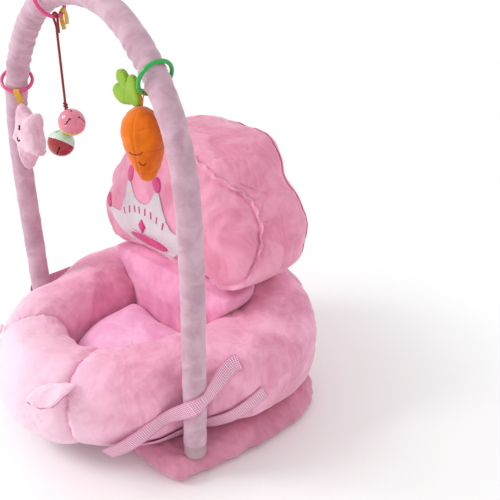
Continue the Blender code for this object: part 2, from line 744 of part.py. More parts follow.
def add_arch():
    """Rigid tube, foam sleeve and plush cover, one inside the other."""
    foam_radius = COVER_RADIUS - COVER_THICKNESS - TOUCH_GAP
    foam_wall = foam_radius - TUBE_RADIUS - FOAM_CLEARANCE
    above_cap = BASE_HEIGHT + CAP_HEIGHT + 2 * TOUCH_GAP
    in_cap = BASE_HEIGHT + CAP_FLOOR + 2 * TOUCH_GAP
    return (
        add_hollow_tube("arch_cover", above_cap, COVER_RADIUS, COVER_THICKNESS,
                        COVER_BEVEL_RESOLUTION, SLEEVE_PINK, 0.9),
        add_hollow_tube("arch_foam", above_cap, foam_radius, foam_wall,
                        COVER_BEVEL_RESOLUTION, FOAM_WHITE, 0.9),
        add_hollow_tube("arch_tube", in_cap, TUBE_RADIUS, TUBE_WALL,
                        TUBE_BEVEL_RESOLUTION, TUBE_WHITE, 0.5),
    )


def turned_part(name, profile, steps, place, colour, roughness, metallic=0.0):
    """Revolve a profile that runs down its outer side, then place it."""
    mesh = bpy.data.meshes.new(name)
    edges = [(i, i + 1) for i in range(len(profile) - 1)]
    mesh.from_pydata([(radius, 0.0, height) for radius, height in profile], edges, [])
    part = add_part(name, mesh, colour, roughness, metallic)
    part.matrix_basis = place
    turn = part.modifiers.new("turn", "SCREW")
    turn.steps = steps
    turn.render_steps = steps
    turn.use_merge_vertices = True
    turn.merge_threshold = 1e-5
    return part


def add_end_cap(side, side_name):
    """Moulded cup that closes the foot of the arch tube."""
    outer = COVER_RADIUS - 0.0005
    bore = TUBE_RADIUS + TOUCH_GAP
    profile = [(0.0, CAP_FLOOR), (bore, CAP_FLOOR), (bore, CAP_HEIGHT), (outer, CAP_HEIGHT),
               (outer, 0.004), (outer - 0.0012, 0.0012), (outer - 0.004, 0.0), (0.0, 0.0)]
    foot = Vector((side * leg_x(BASE_HEIGHT), ARCH_Y, BASE_HEIGHT + TOUCH_GAP))
    return turned_part(f"{side_name}_end_cap", profile, 24, Matrix.Translation(foot),
                       CAP_GREY, 0.55)


def pivot(name, location, parent=None):
    """An empty on a joint's axis."""
    empty = bpy.data.objects.new(name, None)
    empty.location = location
    empty.empty_display_size = 0.02
    seat_collection.objects.link(empty)
    if parent is not None:
        empty.parent = parent
        empty.location = Vector(location) - world_location(parent)
    return empty


def world_location(empty):
    place = Vector(empty.location)
    while empty.parent is not None:
        empty = empty.parent
        place += Vector(empty.location)
    return place


def attach(part, empty):
    part.parent = empty
    part.matrix_parent_inverse = Matrix.Translation(-world_location(empty))


def ring_centre(turn, normal):
    """Let a ring down in its own plane until its wire meets the top of the sleeve."""
    axis_point = arch_point(turn)
    tangent = (arch_point(turn + 1e-4) - axis_point).normalized()
    normal = Vector(normal).normalized()
    down = Vector((0.0, 0.0, -1.0)) - normal * -normal.z
    down.normalize()
    side = normal.cross(down)
    needed = COVER_RADIUS + RING_WIRE + RING_SEAT_GAP
    low, high = 0.0, RING_RADIUS
    for _ in range(30):
        drop = (low + high) / 2
        nearest = RING_RADIUS
        for i in range(72):
            angle = 2 * math.pi * i / 72
            offset = down * (drop + RING_RADIUS * math.cos(angle)) + side * (RING_RADIUS * math.sin(angle))
            nearest = min(nearest, (offset - tangent * offset.dot(tangent)).length)
        if nearest < needed:
            high = drop
        else:
            low = drop
    return axis_point + down * low


def ring_low_point(centre, normal, aside=(0.0, 0.0, 0.0)):
    """Where a load hangs on a ring: its lowest point, or a little aside from it."""
    normal = Vector(normal).normalized()
    pull = Vector((0.0, 0.0, -1.0)) + Vector(aside)
    pull -= normal * pull.dot(normal)
    return centre + pull.normalized() * RING_RADIUS


def add_ring(name, centre, normal, colour):
    normal = Vector(normal).normalized()
    side = normal.orthogonal().normalized()
    other = normal.cross(side)
    points = [centre + (side * math.cos(turn) + other * math.sin(turn)) * RING_RADIUS
              for turn in (2 * math.pi * i / 24 for i in range(24))]
    return add_part(name, tube_data(name, points, RING_WIRE, 1, cyclic=True), colour, 0.35)


def fold_axes(point, centre, normal, foot):
    """(up, side) of a fold over a ring's wire whose two ends hang towards the foot."""
    normal = Vector(normal).normalized()
    inward = (centre - point).normalized()
    pull = point - foot
    up = (inward * pull.dot(inward) + normal * pull.dot(normal)).normalized()
    return up, normal * up.dot(inward) - inward * up.dot(normal)


def fold_over_wire(point, axes, stand_off, sweep, count):
    """(centre, outward) pairs round a ring's wire, through the ring's opening."""
    up, side = axes
    pairs = []
    for i in range(count + 1):
        turn = -sweep + 2 * sweep * i / count
        outward = up * math.cos(turn) + side * math.sin(turn)
        pairs.append((point + outward * stand_off, outward))
    return pairs


def add_ribbon(name, point, axes, first_end, second_end):
    """A ribbon folded over the ring's wire; both of its ends hang down."""
    wire_bow = (RIBBON_WIDTH / 2) ** 2 / (2 * RING_RADIUS)
    stand_off = RING_WIRE + wire_bow + 2 * TOUCH_GAP + RIBBON_THICKNESS / 2
    fold = fold_over_wire(point, axes, stand_off, math.radians(105), 8)
    side = axes[1]
    path = [(first_end, -side), (first_end.lerp(fold[0][0], 0.6) - side * RIBBON_BELLY, -side)]
    path += fold
    path += [(second_end.lerp(fold[-1][0], 0.6) + side * RIBBON_BELLY, side), (second_end, side)]
    sections = ribbon_sections(path, RIBBON_WIDTH, RIBBON_THICKNESS, 1)
    return add_part(name, loft(name, sections), RIBBON_YELLOW, 0.5)


def star_point(x, y, z):
    """From the star's own flat frame to the seat's frame."""
    turn = Matrix.Rotation(STAR_YAW, 3, "Z") @ Matrix.Rotation(STAR_TILT, 3, "X")
    return Vector(STAR_CENTRE) + turn @ Vector((x, y, z))


def star_outline():
    corners = []
    for i in range(10):
        turn = math.radians(90) + STAR_ROLL + math.radians(36) * i
        reach = STAR_RADIUS * (1.0 if i % 2 == 0 else STAR_VALLEY_SHARE)
        corners.append(Vector((reach * math.cos(turn), 0.0, reach * math.sin(turn))))
    return smooth_loop(corners, 3)


def add_star():
    outline = star_outline()
    sections = []
    for share, scale in ((-1.0, 0.40), (-0.92, 0.60), (-0.72, 0.80), (-0.4, 0.94), (0.0, 1.0),
                         (0.4, 0.94), (0.72, 0.80), (0.92, 0.60), (1.0, 0.40)):
        sections.append([star_point(point.x * scale, share * STAR_HALF_THICKNESS,
                                    point.z * scale) for point in outline])
    return add_part("star", loft("star", sections), STAR_PINK, 0.9)


def star_tip():
    turn = math.radians(90) + STAR_ROLL
    reach = STAR_RADIUS + 2 * TOUCH_GAP
    return star_point(reach * math.cos(turn), 0.0, reach * math.sin(turn))


def thread_loop(name, point, centre, normal, foot, radius, colour):
    """A thread passed through a ring, with both of its ends sewn in at the foot."""
    stand_off = RING_WIRE + TOUCH_GAP + radius
    axes = fold_axes(point, centre, normal, foot)
    fold = fold_over_wire(point, axes, stand_off, math.radians(100), 8)
    apart = axes[1] * (radius + TOUCH_GAP)
    points = [foot - apart] + [pair[0] for pair in fold] + [foot + apart]
    return add_part(name, tube_data(name, points, radius, 2), colour, 0.7)


def add_leaves():
    """Stuffed three-lobed leaf cut, standing on the carrot's shoulder."""
    curve = bpy.data.curves.new("carrot_leaves", "CURVE")
    curve.dimensions = "2D"
    curve.fill_mode = "BOTH"
    curve.extrude = LEAF_THICKNESS / 2
    spline = curve.splines.new("POLY")
    outline = smooth_loop([Vector((x, z, 0.0)) for x, z in LEAF_OUTLINE], 2)
    spline.points.add(len(outline) - 1)
    for slot, corner in zip(spline.points, outline):
        slot.co = (corner.x, corner.y, 0.0, 1.0)
    spline.use_cyclic_u = True
    place = Matrix.Translation(Vector(CARROT_TOP) + Vector((-0.0065, 0.0, 0.0)))
    place = place @ Matrix.Rotation(math.radians(90), 4, "X")
    part = add_part("carrot_leaves", curve, LEAF_GREEN, 0.9)
    part.matrix_basis = place
    return part


def half_shell_profile():
    """Runs down the outside of a half bell from its pole, then back up the inside."""
    turns = [math.radians(90 - 15 * i) for i in range(7)]
    inner = BELL_RADIUS - BELL_WALL
    edge = TOUCH_GAP / 2
    profile = [(BELL_RADIUS * math.cos(t), max(edge, BELL_RADIUS * math.sin(t))) for t in turns]
    profile += [(inner * math.cos(t), max(edge, inner * math.sin(t))) for t in reversed(turns)]
    profile[0] = (0.0, BELL_RADIUS)
    profile[-1] = (0.0, inner)
    return profile


def add_bell(name, centre, pole, upper_colour, lower_colour):
    """Two pressed half shells with a loose steel ball inside."""
    aim = Vector(pole).to_track_quat("Z", "Y").to_matrix().to_4x4()
    place = Matrix.Translation(Vector(centre)) @ aim
    flip = Matrix.Rotation(math.pi, 4, "X")
    profile = half_shell_profile()
    upper = turned_part(f"{name}_upper", profile, 18, place, upper_colour, 0.35, 0.3)
    lower = turned_part(f"{name}_lower", profile, 18, place @ flip, lower_colour, 0.35, 0.3)
    bm = bmesh.new()
    bmesh.ops.create_uvsphere(bm, u_segments=10, v_segments=6, radius=BELL_BALL_RADIUS)
    rest = BELL_RADIUS - BELL_WALL - BELL_BALL_RADIUS - 0.0006
    bmesh.ops.translate(bm, verts=bm.verts[:], vec=Vector(centre) - Vector((0.0, 0.0, rest)))
    ball = add_part(f"{name}_ball", mesh_from(bm, f"{name}_ball"), STEEL, 0.3, 1.0)
    return upper, lower, ball


def cord_path(top, centre, normal, end):
    """Up from the bells, once round the ring's wire and a short tail tied back down."""
    stand_off = RING_WIRE + CORD_RADIUS + 2 * TOUCH_GAP
    axes = fold_axes(top, centre, normal, end)
    fold = fold_over_wire(top, axes, stand_off, math.radians(95), 8)
    straight_top = top + Vector((0.0, 0.0, -0.014))
    rise = [end.lerp(straight_top, i / 12) for i in range(13)]
    tail = straight_top + axes[1] * (2 * CORD_RADIUS + 2 * TOUCH_GAP)
    return rise + [pair[0] for pair in fold] + [tail, tail + Vector((0.0, 0.0, -0.010))]


def add_strand(name, points):
    return add_part(name, tube_data(name, points, STRAND_RADIUS, 2), CORD_RED, 0.7)


def bell_surface(centre, toward):
    """Just outside a bell, on the side of a point."""
    centre = Vector(centre)
    return centre + (Vector(toward) - centre).normalized() * (BELL_RADIUS + 2 * TOUCH_GAP)


# The seat: base cushion, ring, pad, back panel, back cushion and its trim.
add_base()
front_edge, back_edge = SEAM_ANGLE_FRONT, SEAM_ANGLE_BACK
add_roll("front_roll", -front_edge, front_edge)
add_roll("right_arm", front_edge, back_edge)
add_roll("left_arm", -back_edge, -front_edge)
add_roll("back_roll", back_edge, 2 * math.pi - back_edge)
add_pad()
add_back_panel()
cushion = add_back_cushion()
add_seam_ruffle()
add_crown(cushion)
for side, side_name in ((1, "right"), (-1, "left")):
    add_straps(side, side_name)
    add_ear(side, side_name)

# The toy arch lifts out of its webbing loops.
arch_pivot = pivot("arch_lift", Vector((0.0, ARCH_Y, BASE_HEIGHT)))
for part in add_arch():
    attach(part, arch_pivot)
for side, side_name in ((1, "right"), (-1, "left")):
    attach(add_end_cap(side, side_name), arch_pivot)

# The carrot on its green ring.
centre = ring_centre(CARROT_RING_TURN, CARROT_RING_NORMAL)
ring_pivot = pivot("carrot_ring_turn", arch_point(CARROT_RING_TURN), arch_pivot)
attach(add_ring("carrot_ring", centre, CARROT_RING_NORMAL, RING_GREEN), ring_pivot)
hang = ring_low_point(centre, CARROT_RING_NORMAL, (0.0, -0.6, 0.0))
toy_pivot = pivot("carrot_swing", hang, ring_pivot)
foot = Vector(CARROT_TOP) + Vector((0.004, 0.0, 2 * TOUCH_GAP))
loop = thread_loop("carrot_loop", hang, centre, CARROT_RING_NORMAL, foot, THREAD_RADIUS, CARROT_ORANGE)
place = Matrix.Translation(Vector(CARROT_TOP)) @ Matrix.Rotation(CARROT_LEAN, 4, "Y")
carrot_profile = [(radius, -depth) for radius, depth in CARROT_PROFILE]
root = turned_part("carrot", carrot_profile, 20, place, CARROT_ORANGE, 0.9)
for part in (loop, root, add_leaves()):
    attach(part, toy_pivot)

# The star on the left-hand pink ring.
centre = ring_centre(STAR_RING_TURN, STAR_RING_NORMAL)
ring_pivot = pivot("star_ring_turn", arch_point(STAR_RING_TURN), arch_pivot)
attach(add_ring("star_ring", centre, STAR_RING_NORMAL, RING_PINK), ring_pivot)
hang = ring_low_point(centre, STAR_RING_NORMAL)
toy_pivot = pivot("star_swing", hang, ring_pivot)
tip = star_tip()
axes = fold_axes(hang, centre, STAR_RING_NORMAL, tip)
apart = axes[1] * (RIBBON_THICKNESS / 2 + TOUCH_GAP)
ribbon = add_ribbon("star_ribbon", hang, axes, tip - apart, tip + apart)
for part in (ribbon, add_star()):
    attach(part, toy_pivot)

# Two bells on a cord, and a ribbon, on the ring near the top.
centre = ring_centre(BELL_RING_TURN, BELL_RING_NORMAL)
ring_pivot = pivot("bell_ring_turn", arch_point(BELL_RING_TURN), arch_pivot)
attach(add_ring("bell_ring", centre, BELL_RING_NORMAL, RING_PINK), ring_pivot)
far_side = ring_low_point(centre, BELL_RING_NORMAL, (0.0, 0.8, 0.0))
fall = Vector((0.0, 0.003, -RIBBON_TAIL))
axes = fold_axes(far_side, centre, BELL_RING_NORMAL, far_side + fall)
spread = axes[1] * (RING_WIRE + RIBBON_THICKNESS)
attach(add_ribbon("bell_ribbon", far_side, axes,
                  far_side + fall - spread, far_side + fall * 0.7 + spread), ring_pivot)
hang = ring_low_point(centre, BELL_RING_NORMAL)
cord_end = Vector((hang.x, hang.y, CORD_END_Z))
cord_pivot = pivot("cord_swing", hang, ring_pivot)
cord_data = tube_data("bell_cord", cord_path(hang, centre, BELL_RING_NORMAL, cord_end),
                      CORD_RADIUS, 2)
attach(add_part("bell_cord", cord_data, CORD_RED, 0.7), cord_pivot)
below = cord_end - Vector((0.0, 0.0, 2 * TOUCH_GAP))
stub = Vector((0.0, 0.0, -0.003))
reach = 2 * BELL_RADIUS + TOUCH_GAP
white_bell_centre = Vector(PINK_BELL_CENTRE) + Vector(WHITE_BELL_BEARING).normalized() * reach
bell_plans = (
    ("pink_bell", PINK_BELL_CENTRE, PINK_BELL_POLE, BELL_PINK, BELL_YELLOW, (), 0.0018),
    ("white_bell", white_bell_centre, WHITE_BELL_POLE, BELL_WHITE, BELL_RED,
     ((-0.0680, -0.1010, 0.5400),), -0.0018),
)
for name, middle, pole, upper, lower, route, aside in bell_plans:
    bell_pivot = pivot(f"{name}_swing", cord_end, cord_pivot)
    start = below + Vector((aside, 0.0, 0.0))
    points = [start, start + stub] + [Vector(place) for place in route]
    points.append(bell_surface(middle, points[-1]))
    attach(add_strand(f"{name}_strand", points), bell_pivot)
    for part in add_bell(name, middle, pole, upper, lower):
        attach(part, bell_pivot)
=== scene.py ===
import math

import bmesh
import bpy
import numpy as np
from mathutils import Matrix, Vector
from mathutils.bvhtree import BVHTree
from mathutils.geometry import delaunay_2d_cdt


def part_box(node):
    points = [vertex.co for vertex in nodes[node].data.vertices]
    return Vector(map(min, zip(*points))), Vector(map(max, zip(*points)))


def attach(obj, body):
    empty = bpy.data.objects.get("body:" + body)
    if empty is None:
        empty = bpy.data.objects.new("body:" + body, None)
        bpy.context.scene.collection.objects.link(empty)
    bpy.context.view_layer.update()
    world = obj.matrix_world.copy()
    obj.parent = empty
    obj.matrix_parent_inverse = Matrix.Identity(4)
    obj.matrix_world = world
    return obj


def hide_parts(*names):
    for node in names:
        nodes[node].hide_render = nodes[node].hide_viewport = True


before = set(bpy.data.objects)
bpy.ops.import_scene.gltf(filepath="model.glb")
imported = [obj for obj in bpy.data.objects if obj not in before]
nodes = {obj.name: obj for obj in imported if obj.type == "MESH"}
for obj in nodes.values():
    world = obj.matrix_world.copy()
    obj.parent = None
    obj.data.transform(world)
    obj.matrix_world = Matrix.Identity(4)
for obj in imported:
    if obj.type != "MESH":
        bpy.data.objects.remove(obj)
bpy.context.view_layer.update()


# The viewpoint: a camera held 0.78 m above the floor beyond the near arm, looking down across the
# seat from its right front corner.
CAMERA_PLACE = (0.914, -0.616, 0.781)
CAMERA_TURN = (math.radians(65.92), 0.0, math.radians(46.26))
bpy.ops.object.camera_add(location=CAMERA_PLACE, rotation=CAMERA_TURN)
camera = bpy.context.object
camera.data.sensor_width = 36.0
camera.data.lens = 46.77
bpy.context.scene.camera = camera


# The bell cord: a red laid cord of polyester, 4 mm thick, hitched round the wire of the top ring.
# It ends in a tied knot, from which two thinner threads of the same red carry the bells.
CORD_DIAMETER = 0.004
THREAD_DIAMETER = 0.0028
CORD_PATH = [(-0.0623, -0.0982, 0.7065), (-0.0645, -0.0985, 0.7061), (-0.0664, -0.0988, 0.7047),
             (-0.0676, -0.0990, 0.7027), (-0.0678, -0.0990, 0.7005), (-0.0670, -0.0989, 0.6975),
             (-0.0645, -0.0985, 0.6920), (-0.0623, -0.0982, 0.6869), (-0.0623, -0.0982, 0.6500),
             (-0.0623, -0.0982, 0.6060), (-0.0623, -0.0982, 0.5620)]
HITCH_PATH = [(-0.0623, -0.0982, 0.7065), (-0.0601, -0.0979, 0.7061), (-0.0582, -0.0976, 0.7047),
              (-0.0571, -0.0974, 0.7027), (-0.0568, -0.0974, 0.7005), (-0.0574, -0.0974, 0.6960),
              (-0.0578, -0.0975, 0.6869), (-0.0580, -0.0975, 0.6769)]
WHITE_THREAD_PATH = [(-0.0625, -0.0986, 0.5615), (-0.0632, -0.1005, 0.5500),
                     (-0.0645, -0.1035, 0.5370), (-0.0655, -0.1058, 0.5252)]
PINK_THREAD_PATH = [(-0.0618, -0.0975, 0.5630), (-0.0595, -0.0985, 0.5602), (-0.0572, -0.0999, 0.5555)]
KNOT_PLACE = Vector((-0.0623, -0.0982, 0.5600))
KNOT_TURNS = 26
# The darker red is painted shade for the grooves between the strands.
CORD_GROOVE_SHADE = (120, 18, 26)
CORD_RED = (168, 30, 38)


def from_screen(red, green, blue):
    """Linear RGBA of a colour read off a screen."""
    shares = [value / 255 for value in (red, green, blue)]
    linear = [s / 12.92 if s <= 0.04045 else ((s + 0.055) / 1.055) ** 2.4 for s in shares]
    return (*linear, 1.0)


class Signal:
    """A shader socket that adds and multiplies like a number."""

    def __init__(self, finish, socket):
        self.finish = finish
        self.socket = socket

    def __add__(self, other):
        return self.finish.sum_of("ADD", self, other)

    def __radd__(self, other):
        return self.finish.sum_of("ADD", other, self)

    def __sub__(self, other):
        return self.finish.sum_of("SUBTRACT", self, other)

    def __rsub__(self, other):
        return self.finish.sum_of("SUBTRACT", other, self)

    def __mul__(self, other):
        return self.finish.sum_of("MULTIPLY", self, other)

    def __rmul__(self, other):
        return self.finish.sum_of("MULTIPLY", other, self)

    def __truediv__(self, other):
        return self.finish.sum_of("DIVIDE", self, other)

    def __rtruediv__(self, other):
        return self.finish.sum_of("DIVIDE", other, self)

    def __pow__(self, other):
        return self.finish.sum_of("POWER", self, other)


class Finish:
    """A material, or the room's light, whose shader nodes are laid one after another."""

    def __init__(self, name, kept_in=bpy.data.materials):
        self.material = kept_in.new(name)
        self.material.use_nodes = True
        self.tree = self.material.node_tree
        self.tree.nodes.clear()

    def node(self, kind, settings=None, inputs=None):
        made = self.tree.nodes.new(kind)
        for key, value in (settings or {}).items():
            setattr(made, key, value)
        for key, value in (inputs or {}).items():
            if isinstance(value, Signal):
                self.tree.links.new(value.socket, made.inputs[key])
            else:
                made.inputs[key].default_value = value
        return made

    def out(self, kind, settings=None, inputs=None, output=0):
        return Signal(self, self.node(kind, settings, inputs).outputs[output])

    def sum_of(self, operation, first, second=0.0):
        return self.out("ShaderNodeMath", {"operation": operation}, {0: first, 1: second})

    def sine(self, value):
        return self.sum_of("SINE", value)

    def absolute(self, value):
        return self.sum_of("ABSOLUTE", value)

    def place(self):
        return self.out("ShaderNodeTexCoord", output="Object")

    def laid(self):
        return self.out("ShaderNodeTexCoord", output="UV")

    def parts(self, vector):
        split = self.node("ShaderNodeSeparateXYZ", None, {0: vector})
        return [Signal(self, split.outputs[i]) for i in range(3)]

    def scaled(self, vector, amounts):
        return self.out("ShaderNodeVectorMath", {"operation": "MULTIPLY"}, {0: vector, 1: amounts})

    def noise(self, vector, scale, detail=2.0, distortion=0.0):
        return self.out("ShaderNodeTexNoise", None,
                        {"Vector": vector, "Scale": scale, "Detail": detail, "Distortion": distortion})

    def warped(self, vector, scale, amount):
        drift = self.out("ShaderNodeTexNoise", None, {"Vector": vector, "Scale": scale}, 1)
        shift = self.out("ShaderNodeVectorMath", {"operation": "SCALE"}, {0: drift, "Scale": amount})
        return self.out("ShaderNodeVectorMath", {"operation": "ADD"}, {0: vector, 1: shift})

    def share(self, value, start, end):
        return self.out("ShaderNodeMapRange", {"interpolation_type": "SMOOTHSTEP"},
                        {0: value, 1: start, 2: end, 3: 0.0, 4: 1.0})

    def colour(self, share, first, second):
        return self.out("ShaderNodeMix", {"data_type": "RGBA"}, {0: share, 6: first, 7: second}, 2)

    def surface(self, colour, roughness, bump=None, depth=0.001, **constants):
        inputs = {"Base Color": colour, "Roughness": roughness}
        if bump is not None:
            inputs["Normal"] = self.out("ShaderNodeBump", None,
                                        {"Strength": 1.0, "Distance": depth, "Height": bump})
        for key, value in constants.items():
            inputs[key.replace("_", " ")] = value
        shader = self.out("ShaderNodeBsdfPrincipled", None, inputs)
        self.node("ShaderNodeOutputMaterial", None, {"Surface": shader})
        return self.material


def corded_finish():
    """Strands laid round each other, with stray fibres."""
    finish = Finish("laid_cord")
    x, y, z = finish.parts(finish.place())
    lay = finish.absolute(finish.sine(z * 1400.0 + x * 900.0 + y * 900.0))
    fibres = finish.noise(finish.place(), 2600.0)
    # Painted shade: the colour darkens toward the dark red in the grooves between the laid strands, where
    # the bump sinks; the fibres add random tone.
    colour = finish.colour(lay * 0.6 + fibres * 0.25, from_screen(*CORD_GROOVE_SHADE), from_screen(*CORD_RED))
    return finish.surface(colour, 0.75, lay + fibres * 0.4, 0.0005, Sheen_Weight=0.15)


def curve_through(name, points, radius, material, cyclic=False):
    """A round cord or stitch along the given points."""
    data = bpy.data.curves.new(name, "CURVE")
    data.dimensions = "3D"
    data.bevel_depth = radius
    data.bevel_resolution = 4
    data.use_fill_caps = True
    line = data.splines.new("POLY")
    line.points.add(len(points) - 1)
    for point, place in zip(line.points, points):
        point.co = (*place, 1.0)
    line.use_cyclic_u = cyclic
    data.materials.append(material)
    made = bpy.data.objects.new(name, data)
    bpy.context.scene.collection.objects.link(made)
    return made


def fitted(piece, body, node=None, material=None):
    """Give a finished piece its material and body, and hide the imported node it replaces."""
    if material:
        piece.data.materials.append(material)
    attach(piece, body)
    if node:
        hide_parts(node)


cord_finish = corded_finish()
bell_cord = curve_through("toy_cord", CORD_PATH, CORD_DIAMETER / 2, cord_finish)
cord_hitch = curve_through("toy_cord_hitch", HITCH_PATH, CORD_DIAMETER / 2, cord_finish)
knot_turns = [tuple(KNOT_PLACE + Vector((0.0024 * math.cos(turn), 0.0024 * math.sin(turn), 0.0007 * turn)))
              for turn in np.arange(KNOT_TURNS) * 0.5]
cord_knot = curve_through("toy_cord_knot", knot_turns, 0.0017, cord_finish)
white_thread = curve_through("white_bell_thread", WHITE_THREAD_PATH, THREAD_DIAMETER / 2, cord_finish)
pink_thread = curve_through("pink_bell_thread", PINK_THREAD_PATH, THREAD_DIAMETER / 2, cord_finish)
fitted(bell_cord, "bell_cord", "bell_cord")
fitted(cord_hitch, "bell_cord")
fitted(cord_knot, "bell_cord")
fitted(white_thread, "white_bell", "white_bell_strand")
fitted(pink_thread, "pink_bell", "pink_bell_strand")


# The base cushion: a flat D-shaped cushion of short-pile pink plush, stuffed with polyester fibre and
# closed by a seam round its rim; the ring is sewn down on it.
BASE_HALF_WIDTH = 0.293
BASE_HALF_DEPTH = 0.219
BASE_MIDDLE_Y = 0.055
BASE_SEAM_Z = 0.020
COVER_GRAIN = 0.006
CLOTH_SETTINGS = {"quality": 4, "mass": 0.3, "tension_stiffness": 12.0, "compression_stiffness": 12.0,
                  "shear_stiffness": 8.0, "bending_stiffness": 1.5, "use_pressure": True}
FILLING_STEPS = 20
WAVE_COUNT = 9
PLUSH_DEEP = (220, 140, 170)
PLUSH_MIDDLE = (248, 184, 212)
# The front tone is a painted highlight: the paler colour given to the lamp-lit front of the plush.
PLUSH_LIT_FRONT = (253, 224, 240)
BASE_TINT = (222, 150, 176)


def select_only(piece):
    bpy.ops.object.select_all(action="DESELECT")
    piece.select_set(True)
    bpy.context.view_layer.objects.active = piece


def copied(node, name):
    """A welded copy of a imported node, to be made soft."""
    mesh = nodes[node].data.copy()
    mesh.name = name
    mesh.materials.clear()
    piece = bpy.data.objects.new(name, mesh)
    bpy.context.scene.collection.objects.link(piece)
    select_only(piece)
    bpy.ops.mesh.customdata_custom_splitnormals_clear()
    bpy.ops.object.mode_set(mode="EDIT")
    bpy.ops.mesh.select_all(action="SELECT")
    bpy.ops.mesh.remove_doubles(threshold=1e-5)
    bpy.ops.mesh.normals_make_consistent(inside=False)
    bpy.ops.object.mode_set(mode="OBJECT")
    return piece


def applied(piece, kind, **settings):
    """Add a modifier and apply it at once."""
    select_only(piece)
    modifier = piece.modifiers.new(kind.title(), kind)
    for key, value in settings.items():
        setattr(modifier, key, value)
    bpy.ops.object.modifier_apply(modifier=modifier.name)


def read_rows(collection, name):
    """A mesh's points or normals as an array with one row each."""
    flat = np.empty(3 * len(collection), np.float32)
    collection.foreach_get(name, flat)
    return flat.reshape(-1, 3).astype(float)


def skin_of(piece):
    """The places of a piece's points, and the ways they face."""
    return read_rows(piece.data.vertices, "co"), read_rows(piece.data.vertex_normals, "vector")


def put_points(piece, places):
    piece.data.vertices.foreach_set("co", places.astype(np.float32).ravel())
    piece.data.update()


def smooth_shaded(piece):
    select_only(piece)
    bpy.ops.object.shade_smooth()


def pushed(piece, places, normals, move):
    """Put each point of a piece at its place, moved along its normal."""
    put_points(piece, places + normals * move[:, None])


def filled(piece, pressure, reach):
    """Blow a cover up as stuffing does; no point goes further than reach from its cut place."""
    before, normals = skin_of(piece)
    scene = bpy.context.scene
    modifier = piece.modifiers.new("Filling", "CLOTH")
    for name, value in CLOTH_SETTINGS.items():
        setattr(modifier.settings, name, value)
    modifier.settings.uniform_pressure_force = pressure
    modifier.settings.effector_weights.gravity = 0.0
    modifier.collision_settings.use_collision = False
    modifier.point_cache.frame_start = 1
    modifier.point_cache.frame_end = FILLING_STEPS
    for step in range(1, FILLING_STEPS + 1):
        scene.frame_set(step)
    shown = piece.evaluated_get(bpy.context.evaluated_depsgraph_get())
    move = read_rows(shown.data.vertices, "co") - before
    piece.modifiers.remove(modifier)
    scene.frame_set(1)
    size = np.linalg.norm(move, axis=1, keepdims=True)
    put_points(piece, before + move * np.minimum(1.0, reach / np.maximum(size, 1e-9)))


def stuffed(node, name, start, pressure, reach):
    """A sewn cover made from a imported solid: remeshed evenly, drawn in, filled and made fine."""
    piece = copied(node, name)
    applied(piece, "REMESH", mode="VOXEL", voxel_size=COVER_GRAIN)
    places, normals = skin_of(piece)
    put_points(piece, places - normals * start)
    filled(piece, pressure, reach)
    applied(piece, "SMOOTH", factor=0.5, iterations=3)
    applied(piece, "SUBSURF", levels=1)
    smooth_shaded(piece)
    return piece


def sculpted(node, name, grain, smoothing, rounds, levels):
    """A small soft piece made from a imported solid: remeshed finely and smoothed."""
    piece = copied(node, name)
    applied(piece, "REMESH", mode="VOXEL", voxel_size=grain)
    applied(piece, "SMOOTH", factor=smoothing, iterations=rounds)
    if levels:
        applied(piece, "SUBSURF", levels=levels)
    smooth_shaded(piece)
    return piece


def waves(places, length, seed):
    """A smooth random field with swells about the given length, mostly within one."""
    dice = np.random.default_rng(seed)
    total = np.zeros(len(places))
    for _ in range(WAVE_COUNT):
        way = dice.normal(size=3)
        way /= np.linalg.norm(way)
        rate = 2 * math.pi / length * dice.uniform(0.6, 1.4)
        total += np.sin(places @ way * rate + dice.uniform(0, 2 * math.pi))
    return total / math.sqrt(WAVE_COUNT / 2)


def ramp(values, start, length):
    """Shares that grow from 0 at start to 1 one length further on; a negative length runs back."""
    return np.clip((values - start) / length, 0.0, 1.0)


def creases(places, length, width, seed):
    """Thin lines, one where a random field is zero and none elsewhere."""
    field = np.abs(waves(places, length, seed))
    return np.maximum(0.0, 1.0 - field / width) ** 2


def plush_finish(name, deep, middle, front, brushing=1.0):
    """Short velour pile: brushed patches, a painted highlight that turns the colour toward the front tone
    on the front and left of the seat, where the lamp falls, and a fuzz that catches light.
    """
    finish = Finish(name)
    place = finish.place()
    x, y, z = finish.parts(place)
    drift = finish.warped(place, 7.0, 0.10)
    patches = finish.share(finish.noise(drift, 13.0, 4.0, 0.8), 0.36, 0.66)
    strokes = finish.share(finish.noise(finish.scaled(drift, (1.0, 1.0, 0.35)), 48.0, 3.0, 1.5), 0.3, 0.72)
    pile = patches * (0.62 * brushing) + strokes * (0.34 * brushing) + (0.5 - 0.48 * brushing)
    body = finish.colour(pile, from_screen(*deep), from_screen(*middle))
    # Painted highlight: toward the front and left of the seat, where the lamp falls, the colour is turned
    # toward the front tone.
    ahead = finish.share(0.0 - y - x * 0.25 + (0.22 - z) * 0.12, 0.10, 0.33)
    colour = finish.colour(ahead * 0.9, body, from_screen(*front))
    fuzz = finish.noise(place, 1500.0, 2.0)
    naps = finish.noise(drift, 170.0, 3.0, 0.6)
    return finish.surface(colour, 0.92, fuzz * 0.16 + naps * 0.55 + strokes * 0.25, 0.0011,
                          Sheen_Weight=0.45, Sheen_Roughness=0.45, Specular_IOR_Level=0.15)


